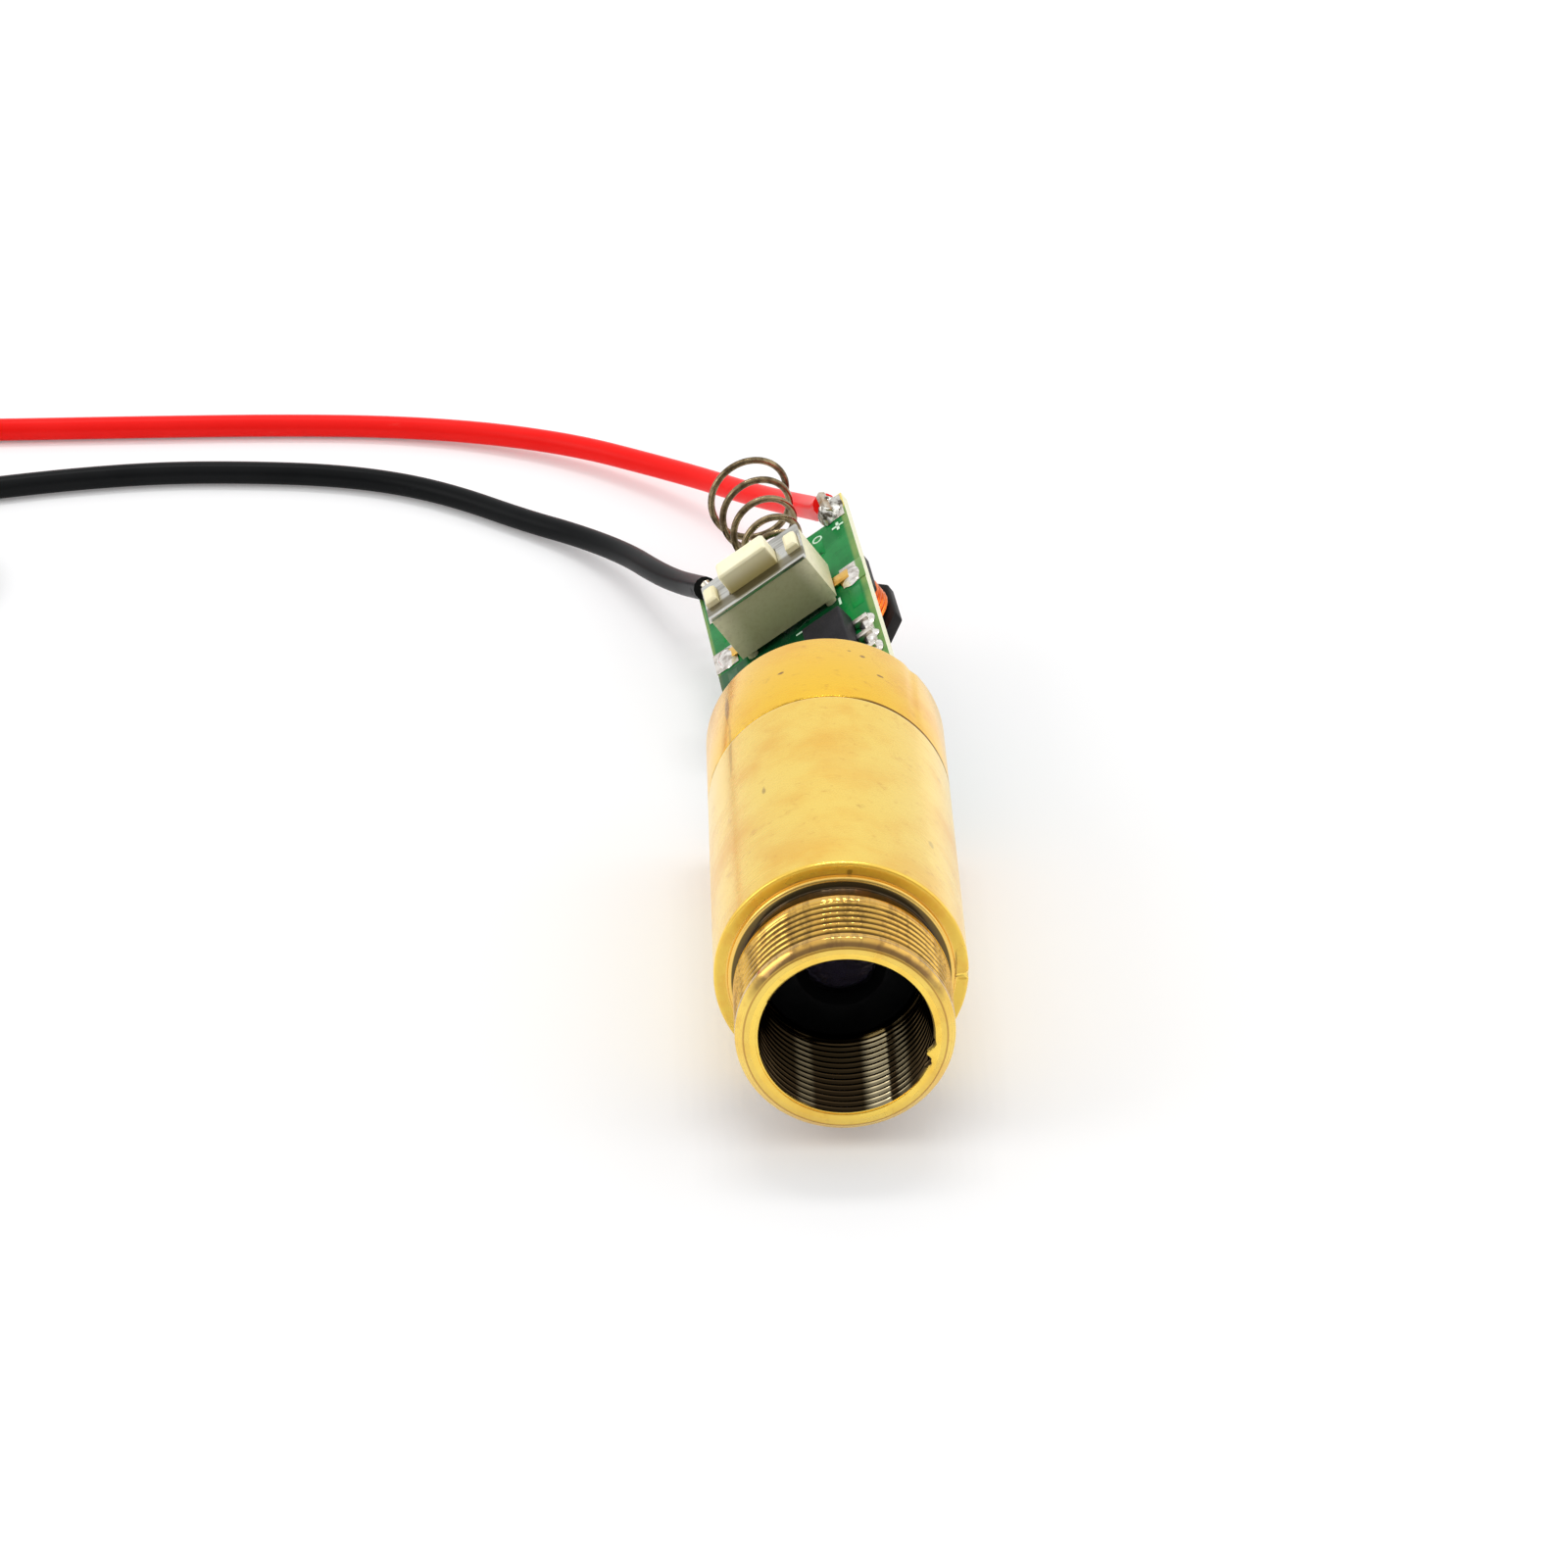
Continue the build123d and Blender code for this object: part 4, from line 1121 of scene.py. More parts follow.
# the brass's specks, scratches and stains, as the photograph shows them
WEAR = (
    Mark((-2.31, 26.08, 5.54), (0.22, 0.14, 0.4)), Mark((2.59, 25.89, 5.41), (0.24, 0.12, 0.4)),
    Mark((1.77, 27.42, 5.73), (0.2, 0.14, 0.4), 0.7), Mark((1.1, 27.75, 5.9), (0.14, 0.12, 0.4), 0.5),
    Mark((-4.98, 26.4, 3.34), (0.16, 1.9, 0.3), 0.55), Mark((-4.9, 22.0, 3.46), (0.14, 3.5, 0.2), 0.28),
    Mark((-3.42, 14.95, 4.93), (0.12, 0.42, 0.3), 0.5), Mark((4.41, 10.96, 4.07), (0.2, 0.4, 0.3), 0.3),
    Mark((5.66, 5.82, -0.16), (0.4, 0.1, 0.06), 0.8), Mark((3.86, 0.1, -0.47), (0.3, 0.2, 0.07), 0.95),
    Mark((3.72, 0.1, -1.45), (0.26, 0.2, 0.16), 0.9), Mark((5.38, 5.8, 0.5), (0.09, 0.1, 0.9), 0.5),
    Mark((0.36, 5.82, 5.5), (0.2, 0.1, 0.2), 0.6), Mark((1.07, 11.55, 5.9), (0.3, 0.3, 0.4), 0.08),
)


class Workshop:
    """Holds the finishes, each built once and shared by the pieces."""

    def __init__(self) -> None:
        """Mixes every finish."""
        self.barrel = Brass("turned_brass_barrel", WEAR, tint(252, 216, 98), tint(242, 190, 70), nose=True)
        self.collar = Brass("turned_brass_collar", WEAR, tint(252, 202, 52), tint(244, 180, 40))
        self.cell = Moulded("black_anodised", Slot.LENS_CELL, tint(17, 17, 18), tint(10, 10, 12), gloss=0.12)
        self.glass = Glass()
        self.steel = SwitchCover()
        self.gold = Metal("gold_plate", Slot.GOLD, tint(236, 190, 96), tint(196, 142, 58), (0.18, 0.34))
        self.solder = Metal("solder", Slot.TIN, tint(242, 238, 232), tint(176, 168, 160), (0.16, 0.4),
                            (2200, 2200, 2200), 0.00001)
        self.dirty_solder = Metal("fluxed_solder", Slot.TIN, tint(210, 208, 200), tint(92, 84, 74), (0.25, 0.6),
                                  (3000, 3000, 3000), 0.00002, (0.45, 0.62))
        self.pads = PadPlates()
        self.strands = Metal("tinned_strands", Slot.TIN, tint(214, 206, 190), tint(176, 140, 96), (0.25, 0.4),
                             (1800, 1800, 1800))
        self.copper = Metal("enamelled_copper", Slot.COPPER, tint(250, 128, 50), tint(206, 84, 26), (0.24, 0.4),
                            (900, 900, 2600))
        self.spring = Metal("spring_wire", Slot.SPRING, tint(156, 138, 106), tint(84, 70, 50), (0.2, 0.38),
                            (1100, 1100, 1100), 0.000004, (0.36, 0.66))
        self.shell = SwitchShell()
        self.cream = SwitchPlunger()
        self.chip = Moulded("chip_resin", Slot.CHIP, tint(29, 27, 32), tint(19, 18, 22), bump=0.000006, gloss=0.16)
        self.ferrite = Moulded("ferrite", Slot.FERRITE, tint(26, 23, 22), tint(16, 14, 13), 0.5, 1300.0,
                               0.000012, gloss=0.14)
        self.resistor = Moulded("resistor_glaze", Slot.RESISTOR, tint(38, 38, 43), tint(26, 26, 29), 0.3, coat=0.4)
        self.capacitor = Moulded("capacitor_ceramic", Slot.CAPACITOR, tint(213, 168, 119), tint(180, 135, 93),
                                 0.45, 1200.0)
        self.mask = SolderMask("green_mask")
        self.track = SolderMask("green_mask_over_copper", lifted=True)
        self.laminate = Laminate()
        self.print = Moulded("white_print", Slot.BOARD, tint(219, 237, 217), tint(201, 237, 206), 0.6, 1500.0)
        self.red = Insulation("red_pvc", Slot.RED, tint(254, 32, 28), tint(250, 26, 22), tint(254, 80, 68), 0.09)
        self.black = Insulation("black_pvc", Slot.BLACK, tint(24, 25, 26), tint(17, 18, 19), tint(45, 46, 50), 0.07)


# ---------------------------------------------------------------- the sub-assemblies


def push_in(mesh: Mesh, mark: Mark, push: Point) -> None:
    """Moves the vertices inside a mark, most at its middle.

    Args:
        mesh: the mesh, which is changed.
        mark: the dent's place, reach and strength.
        push: how far its middle moves, in millimetres.
    """
    centre = Vector(mark.centre)
    for vertex in mesh.vertices:
        away = vertex.co / MM - centre
        far = Vector(a / r for a, r in zip(away, mark.reach)).length
        if far < 1:
            vertex.co += Vector(push) * (MM * mark.strength * (1 - far * far) ** 2)


@dataclass
class ThreadedBarrel:
    """The turned barrel: threaded nose and bore, shoulder, plain body, spigot and collar."""

    radius: float = 6.0
    crest: float = 5.12
    relief: float = 4.85
    bore: float = 4.03
    seam: float = 22.67
    collar_end: float = 28.96
    pitch: float = 0.5
    thread_depth: float = 0.26
    ring_step: float = 0.05

    def section(self) -> list[Spot]:
        """Draws the barrel's section, outside first, with close rings where threads are cut.

        Returns:
            Its (y, radius) points in millimetres, in order round it.
        """
        outside = eased([(0.0, 4.12), (0.0, 4.72), (0.4, self.crest), (1.0, self.crest)], 0.08)[:-1]
        thread = [(y, self.crest) for y in steps_between(0.45, 4.34, self.ring_step)]
        neck = [(4.38, 5.08), (4.44, self.relief), (5.46, self.relief), (5.52, 4.9), (5.54, 5.2), (5.58, 5.3),
                (5.65, 5.34), (5.72, 5.35), (5.79, 5.37)]
        shoulder = [(5.8, 5.6), (5.8, 5.8), (5.81, 5.9), (5.84, 5.96), (5.91, self.radius)]
        body = [(y, self.radius) for y in (6.1, 6.4, 7.0, 10.0, 14.0, 18.0, 22.4, 22.6)]
        spigot = [(22.64, 5.99), (self.seam, 5.96), (self.seam, 5.1), (25.42, 5.1), (25.47, 5.05)]
        back = [(25.47, 3.7), (20.8, 3.7), (20.8, 2.82), (19.2, 2.82), (19.2, 1.9), (17.0, 1.9), (17.0, 3.85)]
        bore = [(6.5, 3.85), (6.5, self.bore)]
        inside = [(y, self.bore) for y in steps_between(6.5, 0.1, self.ring_step)]
        return [*outside, *thread, *neck, *shoulder, *body, *spigot, *back, *bore, *inside, (0.04, self.bore + 0.03)]

    def barrel(self, shop: Workshop) -> None:
        """Turns the barrel, cuts both threads and adds its nicks.

        Args:
            shop: the finishes.
        """
        cutter = thread_cutter()
        mesh = lathe(self.section())
        for wall, start, end, run_out, side in ((self.crest, 0.58, 4.0, 0.25, -1.0),
                                                (self.bore, -1.0, 6.5, 0.4, 1.0)):
            mesh = cutter.grow(shop.barrel, mesh, Wall_radius=wall * MM, Depth=self.thread_depth * MM,
                               Pitch=self.pitch * MM, Start=start * MM, End=end * MM, Run_out=run_out * MM,
                               Side=side)
        for nick, push in (
            (Mark((5.75, 5.85, -0.1), (0.5, 0.35, 0.22), 1.0), (-0.22, 0.12, 0.0)),
            (Mark((3.95, 0.1, -0.88), (0.55, 0.5, 0.32), 1.0), (-0.36, -0.02, 0.0)),
            (Mark((3.85, 0.2, -1.5), (0.45, 0.5, 0.26), 1.0), (0.16, 0.05, -0.04)),
            (Mark((4.0, 0.15, -0.42), (0.4, 0.4, 0.18), 1.0), (0.14, 0.02, 0.03)),
        ):
            push_in(mesh, nick, push)
        add_piece("threaded_barrel", shade(mesh, THREAD_ANGLE), [shop.barrel], ["barrel"])

    def collar(self, shop: Workshop) -> None:
        """Turns the collar, which sits a little askew on the barrel and has a dent at its end.

        Args:
            shop: the finishes.
        """
        bore, ease, near_seam, askew = 5.12, 0.05, 0.5, 0.035
        front = self.seam + 0.01
        collar = lathe(eased([(front, bore), (front, self.radius), (self.collar_end, self.radius),
                              (self.collar_end, bore)], ease))
        for vertex in collar.vertices:
            if vertex.co.y < (self.seam + near_seam) * MM:
                vertex.co.y += (askew + askew * vertex.co.x / (self.radius * MM)) * MM
        push_in(collar, Mark((4.2, 28.9, 4.2), (0.6, 0.3, 0.4), 1.0), (-0.05, -0.05, -0.04))
        add_piece("turned_collar", shade(collar, COLLAR_ANGLE), [shop.collar], ["rear_collar"])

    def build(self, shop: Workshop) -> None:
        """Makes the barrel and the collar."""
        self.barrel(shop)
        self.collar(shop)


@dataclass
class OpticsInside:
    """The lens cell, lens, its ring, the focus spring and the laser diode inside the barrel."""

    spring_radius: float = 3.27
    spring_wire: float = 0.2
    spring_turns: float = 3.0
    uneased_angle: float = 38.0

    def build(self, shop: Workshop) -> None:
        """Dresses each turned piece and winds the focus spring.

        Args:
            shop: the finishes.
        """
        for node, finish, bevel in (
            ("lens_cell", shop.cell, 0.05), ("lens_ring", shop.cell, 0.04), ("diode_base", shop.gold, 0.05),
            ("diode_cap", shop.gold, 0.04), ("diode_pins", shop.gold, 0.0), ("collimating_lens", shop.glass, 0.0),
            ("diode_window", shop.glass, 0.0),
        ):
            angle = EDGE_ANGLE if bevel else self.uneased_angle
            add_piece(node + "_dressed", dressed_copy(node, bevel, angle), [finish], [node])
        low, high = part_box("focus_spring")
        reach = (high[1] - low[1]) / MM - 2 * self.spring_wire
        coil = wire_winder().grow(shop.spring, Steps=200, Closed_turns=0.0, Open_turns=self.spring_turns,
                                  Open_pitch=reach / self.spring_turns * MM, Radius=self.spring_radius * MM,
                                  Flare=0.0, Bow=0.0, Wire_radius=self.spring_wire * MM)
        x, y, z = Matrix.Identity(3)
        coil.transform(placement(z, x, y, Vector((0, low[1] + self.spring_wire * MM, 0))))
        add_piece("focus_coil", shade(coil, WIRE_ANGLE), [shop.spring], ["focus_spring"])


@dataclass
class Plate:
    """A thin rectangular or polygonal plate on the board, on the board's axes in millimetres."""

    outline: Sequence[Spot]
    low: float
    high: float

    @classmethod
    def bar(cls, w: float, l: float, width: float, length: float, low: float, high: float) -> "Plate":
        """A rectangle centred at (w, l)."""
        x, y = width / 2, length / 2
        return cls(((w - x, l - y), (w + x, l - y), (w + x, l + y), (w - x, l + y)), low, high)

    @classmethod
    def line(cls, path: Sequence[Spot], width: float, low: float, high: float) -> list["Plate"]:
        """A track of one width along a path, a plate for each run, joined in its corners.

        Args:
            path: the track's corners.
            width: its width.
            low: height of its lower face.
            high: height of its upper face.

        Returns:
            The plates.
        """
        plates = []
        for start, end in zip(path, path[1:]):
            a, b = Vector(start), Vector(end)
            way = (b - a).normalized() * (width / 2)
            side = Vector((-way.y, way.x))
            a, b = a - way * 0.5, b + way * 0.5
            plates.append(cls(tuple(tuple(p) for p in (a - side, b - side, b + side, a + side)), low, high))
        return plates

    def draw(self, work: bmesh.types.BMesh) -> None:
        """Adds the plate to a working mesh.

        Args:
            work: the working mesh.
        """
        lower, upper = ([work.verts.new((x, y, level)) for x, y in self.outline] for level in (self.low, self.high))
        work.faces.new(upper)
        work.faces.new(lower[::-1])
        for i in range(len(lower)):
            j = (i + 1) % len(lower)
            work.faces.new((lower[i], lower[j], upper[j], upper[i]))


def plates_mesh(plates: Iterable[Plate], bevel: float = 0.0) -> Mesh:
    """Draws plates in their place on the board.

    Args:
        plates: the plates.
        bevel: width of their eased edges in millimetres, or 0 for none.

    Returns:
        All of them as one mesh.
    """
    work = bmesh.new()
    for plate in plates:
        plate.draw(work)
    bmesh.ops.recalc_face_normals(work, faces=work.faces)
    if bevel:
        bmesh.ops.bevel(work, geom=list(work.edges), offset=bevel, segments=2, profile=0.5, affect="EDGES",
                        clamp_overlap=True)
    mesh = finished(work, "plates")
    mesh.transform(BOARD.matrix)
    return shade(mesh, PLATE_ANGLE)


# the tracks' corners on the board's axes and their widths, on its upper and on its lower face
UPPER_TRACKS = (
    (((2.7, 19.0), (2.7, 17.4), (1.6, 16.4)), 0.5),
    (((-2.7, 19.0), (-3.6, 18.2), (-3.6, 15.4)), 0.6),
    (((3.9, 12.0), (3.9, 10.4)), 0.7),
    (((-3.9, 12.0), (-3.9, 7.2), (-3.6, 5.2)), 0.6),
    (((-2.2, 9.6), (-0.4, 9.6), (0.1, 9.1)), 0.4),
    (((-2.2, 9.6), (-2.2, 3.6), (-1.0, 2.4), (-1.0, 0.0)), 0.5),
    (((3.9, 4.6), (3.9, 3.4), (1.0, 1.6), (1.0, 0.0)), 0.5),
    (((-3.6, 5.2), (-3.6, 1.4), (-2.6, 0.4)), 0.5),
    (((0.2, 11.6), (0.9, 11.9), (2.2, 11.9)), 0.35),
)
LOWER_TRACKS = (
    (((0, 0.0), (0, 2.4), (-2.4, 3.4)), 0.5),
    (((-2.4, 6.0), (-2.4, 6.4)), 0.7),
    (((1.9, 6.0), (1.9, 6.4)), 0.7),
    (((-2.4, 8.6), (-2.4, 9.4), (-3.4, 11.0), (-3.4, 18.0), (-2.7, 19.0)), 0.6),
    (((1.9, 8.6), (1.9, 11.2)), 0.9),
    (((1.9, 3.4), (3.9, 2.4), (3.9, 0.0)), 0.5),
    (((2.1, 17.6), (2.7, 19.0)), 0.8),
)
# the printed bars' middles, widths and lengths: the plus sign first, then the outlines of parts
UPPER_MARKS = (
    (4.03, 19.0, 0.72, 0.17), (4.03, 19.0, 0.17, 0.78), (2.97, 11.75, 0.14, 0.7), (-3.35, 16.05, 0.5, 0.12),
    (0.55, 11.3, 0.9, 0.13), (-2.95, 11.3, 0.13, 0.5), (0.55, 5.35, 0.13, 0.6), (-3.0, 20.9, 0.12, 0.5),
)
LOWER_MARKS = (
    (-2.4, 6.0, 1.3, 0.12), (1.9, 6.0, 1.3, 0.12), (-2.4, 3.3, 1.3, 0.12), (1.9, 3.3, 1.3, 0.12),
    (-0.15, 10.9, 0.5, 0.12), (4.35, 10.9, 0.5, 0.12),
)


@dataclass
class DriverBoard:
    """The green circuit board with its tracks, plated holes, pads and printed marks."""

    top: float = 0.1
    bottom: float = -0.5
    vias: tuple[Spot, ...] = ((2.7, 19.0), (-2.7, 19.0), (-2.2, 9.6), (-3.6, 5.2))

    def board(self, shop: Workshop) -> None:
        """Dresses the board: mask on its two faces, laminate on its edges.

        Args:
            shop: the finishes.
        """
        least_flat = 0.95
        piece = add_piece("driver_board", dressed_copy("circuit_board", 0.03), [shop.mask, shop.laminate],
                          ["circuit_board"])
        up = BOARD.ways()[2]
        for face in piece.data.polygons:
            face.material_index = 0 if abs(face.normal.dot(up)) > least_flat else 1

    def tracks(self, shop: Workshop) -> None:
        """Lays the masked copper tracks on both faces.

        Args:
            shop: the finishes.
        """
        raised, sunk = 0.012, 0.004
        plates = []
        for path, width in UPPER_TRACKS:
            plates += Plate.line(path, width, self.top - sunk, self.top + raised)
        for path, width in LOWER_TRACKS:
            plates += Plate.line(path, width, self.bottom - raised, self.bottom + sunk)
        add_piece("copper_tracks", plates_mesh(plates, 0.006), [shop.track])

    def print_marks(self, shop: Workshop) -> None:
        """Prints the plus sign and the outlines of parts in white.

        Args:
            shop: the finishes.
        """
        near, far = 0.015, 0.03
        marks = [Plate.bar(*mark, self.top + near, self.top + far) for mark in UPPER_MARKS]
        marks += [Plate.bar(*mark, self.bottom - far, self.bottom - near) for mark in LOWER_MARKS]
        add_piece("board_print", plates_mesh(marks), [shop.print])

    def holes(self, shop: Workshop) -> None:
        """Sets a plated ring at both ends of each hole.

        Args:
            shop: the finishes.
        """
        proud = 0.005
        seed = bpy.data.meshes.new("via_spots")
        seed.from_pydata([(w, l, n) for w, l in self.vias for n in (self.top + proud, self.bottom - proud)], [], [])
        rings = via_setter().grow(shop.print, seed, Ring_radius=0.26, Wall=0.05)
        rings.transform(BOARD.matrix)
        add_piece("plated_holes", shade(rings, WIRE_ANGLE), [shop.print])

    def build(self, shop: Workshop) -> None:
        """Makes the board and what is on it.

        Args:
            shop: the finishes.
        """
        self.board(shop)
        self.tracks(shop)
        self.print_marks(shop)
        self.holes(shop)
        add_piece("tinned_pad_plates", dressed_copy("board_pads", 0.02), [shop.pads], ["board_pads"])


@dataclass
class PushSwitch:
    """The press switch: shell, steel cover, posts, button, snap dome and terminals."""

    posts_level: float = 3.32

    def build(self, shop: Workshop) -> None:
        """Dresses the switch, with the posts in a paler plastic than the shell.

        Args:
            shop: the finishes.
        """
        shell = add_piece("switch_shell", dressed_copy("switch_housing", 0.07), [shop.shell, shop.cream],
                          ["switch_housing"])
        back, origin = BOARD.turn.transposed(), Vector((0, BOARD.collar_end * MM, 0))
        for face in shell.data.polygons:
            level = (back @ (face.center - origin)).z / MM
            face.material_index = 1 if level > self.posts_level else 0
        for name, node, finish, bevel in (
            ("switch_cover_plate", "switch_cover", shop.steel, 0.04),
            ("switch_snap_dome", "switch_dome", shop.steel, 0.0),
            ("switch_feet", "switch_terminals", shop.gold, 0.04),
        ):
            add_piece(name, dressed_copy(node, bevel), [finish], [node])
        add_piece("push_button", dressed_copy("switch_button", 0.08), [shop.cream], ["switch_button"], BUTTON)


@dataclass
class BoardParts:
    """The driver chip, inductor and ceramic parts soldered to the board."""

    drum: Spot = (2.1, 14.4)
    drum_top: float = -1.15
    turns: float = 4.9
    wire: float = 0.145
    layers: Point = (2.32, 2.05, 1.78)

    def build(self, shop: Workshop) -> None:
        """Dresses each part and winds the inductor.

        Args:
            shop: the finishes.
        """
        for node, finish, bevel in (
            ("driver_chip", shop.chip, 0.09), ("chip_legs", shop.pads, 0.05), ("inductor_core", shop.ferrite, 0.12),
            ("chip_resistors", shop.resistor, 0.05), ("chip_capacitors", shop.capacitor, 0.06),
            ("ceramic_ends", shop.solder, 0.06),
        ):
            add_piece(node + "_dressed", dressed_copy(node, bevel), [finish], [node])
        winder = wire_winder()
        layers = [winder.grow(shop.copper, Steps=150, Closed_turns=0.0, Open_turns=self.turns,
                              Open_pitch=0.285 * MM, Radius=radius * MM, Flare=0.0, Bow=0.0,
                              Wire_radius=self.wire * MM)
                  for radius in self.layers]
        winding = join_meshes(layers, "winding")
        across, along, up = BOARD.ways()
        winding.transform(placement(-across, along, -up, BOARD.at(*self.drum, self.drum_top - self.wire)))
        add_piece("inductor_turns", shade(winding, WIRE_ANGLE), [shop.copper], ["inductor_winding"])


@dataclass
class BatterySpring:
    """The tapered contact spring: a closed coil on the board's tab, then turns that open rearward."""

    tip: Point = (-0.381, 27.97, 0.557)
    front: Point = (0.113, 20.7075, -0.242)
    turns: float = 4.07
    closed: float = 1.15
    front_angle: float = 1783.2
    wire: float = 0.19

    def build(self, shop: Workshop) -> None:
        """Winds the spring and lays it on its own line.

        Args:
            shop: the finishes.
        """
        low, high = BOARD.at(*self.front), BOARD.at(*self.tip)
        line = (high - low).normalized()
        across, along, _ = BOARD.ways()
        start = Matrix.Rotation(math.radians(-self.front_angle), 3, along) @ across
        start = (start - line * start.dot(line)).normalized()
        coil = wire_winder().grow(shop.spring, Steps=420, Closed_turns=self.closed, Open_turns=self.turns,
                                  Closed_pitch=0.42 * MM, Open_pitch=1.75 * MM, Radius=1.545 * MM,
                                  Flare=0.34 * MM, Bow=0.38 * MM, Wire_radius=self.wire * MM)
        coil.transform(placement(start, line.cross(start), line, low))
        add_piece("battery_spring", shade(coil, WIRE_ANGLE), [shop.spring], ["contact_spring"])


@dataclass
class Joint:
    """One solder joint on the board, on its axes in millimetres."""

    w: float
    l: float
    wide: float
    long: float
    height: float
    seed: int
    level: float = 0.14
    up: int = 1
    lean: float = 0.0

    def mesh(self) -> Mesh:
        """Models a closed mound with a wetted foot and an uneven, wrinkled skin.

        Returns:
            The mound's mesh.
        """
        rings, steps, ripple_count, roundness = 14, 40, 6, 0.78
        shuffle = random.Random(self.seed)
        waves = [(shuffle.randint(1, 4), shuffle.uniform(0, 6.28), shuffle.uniform(0.02, 0.07)) for _ in range(5)]
        ripples = [(shuffle.uniform(-1, 1), shuffle.uniform(-1, 1), shuffle.uniform(4, 9), shuffle.uniform(0, 6.28))
                   for _ in range(ripple_count)]
        work = bmesh.new()
        rows = []
        for ring in range(rings + 1):
            t = 1 - ring / rings
            row = []
            for step in range(steps):
                angle = FULL_TURN * step / steps
                out = 1 + sum(size * math.sin(count * angle + phase) for count, phase, size in waves)
                x, y = math.cos(angle) * t * out, math.sin(angle) * t * out
                ripple = sum(math.sin((a * x + b * y) * rate + phase) for a, b, rate, phase in ripples) / ripple_count
                rise = max(0.0, 1 - t**2) ** roundness * (1 + 0.16 * ripple * (1 - t**4)) + 0.04 * (1 - t)
                lean = self.lean * rise * (1 - t)
                row.append((self.w + (x + lean) * self.wide, self.l + y * self.long,
                            self.level + self.up * self.height * rise))
            rows.append([work.verts.new(spot) for spot in (row if ring < rings else row[:1])])
        for lower, upper in zip(rows, rows[1:-1]):
            for i in range(steps):
                j = (i + 1) % steps
                work.faces.new((lower[i], lower[j], upper[j], upper[i]))
        for i in range(steps):
            work.faces.new((rows[-2][i], rows[-2][(i + 1) % steps], rows[-1][0]))
        work.faces.new(rows[0][::-1])
        bmesh.ops.recalc_face_normals(work, faces=work.faces)
        return finished(work, "joint")


@dataclass
class SolderWork:
    """Every solder joint of the board."""

    under: float = -0.54

    def group(self, name: str, joints: Sequence[Joint], finish: Finish, node: str) -> None:
        """Makes one piece of some joints.

        Args:
            name: the piece's name.
            joints: the joints.
            finish: their finish.
            node: the CAD node that they stand for.
        """
        mesh = join_meshes((joint.mesh() for joint in joints), name)
        mesh.transform(BOARD.matrix)
        add_piece(name, shade(mesh, SOLDER_ANGLE), [finish], [node])

    def build(self, shop: Workshop) -> None:
        """Lays the joints.

        Args:
            shop: the finishes.
        """
        leads = [Joint(3.9, 21.0, 0.76, 1.15, 0.4, 11, lean=0.1), Joint(3.95, 21.5, 0.5, 0.5, 0.56, 13),
                 Joint(3.72, 20.2, 0.5, 0.52, 0.85, 14), Joint(-3.6, 18.95, 0.85, 1.0, 0.7, 12)]
        springs = [Joint(-0.95, 20.75, 0.6, 0.75, 0.5, 21), Joint(0.95, 20.75, 0.7, 0.85, 0.62, 22),
                   Joint(0.1, 20.9, 0.7, 0.7, 0.3, 23)]
        terminals = [Joint(3.86, 13.45, 0.6, 0.95, 0.14, 31), Joint(-4.0, 13.6, 0.62, 1.0, 0.24, 32)]
        legs = [Joint(4.05, 6.75 + step * 1.5, 0.5, 0.72, 0.2, 41 + step) for step in (-1, 0, 1)]
        pins = [Joint(-1.0, -1.76, 0.62, 0.85, 0.6, 51), Joint(1.0, -1.76, 0.62, 0.85, 0.6, 52),
                Joint(0.0, -1.76, 0.62, 0.85, 0.6, 53, level=self.under, up=-1)]
        self.group("lead_joints", leads, shop.dirty_solder, "lead_solder")
        self.group("spring_joints", springs, shop.solder, "spring_solder")
        self.group("terminal_joints", terminals, shop.solder, "switch_solder")
        self.group("leg_joints", legs, shop.solder, "chip_solder")
        self.group("pin_joints", pins, shop.solder, "pin_solder")


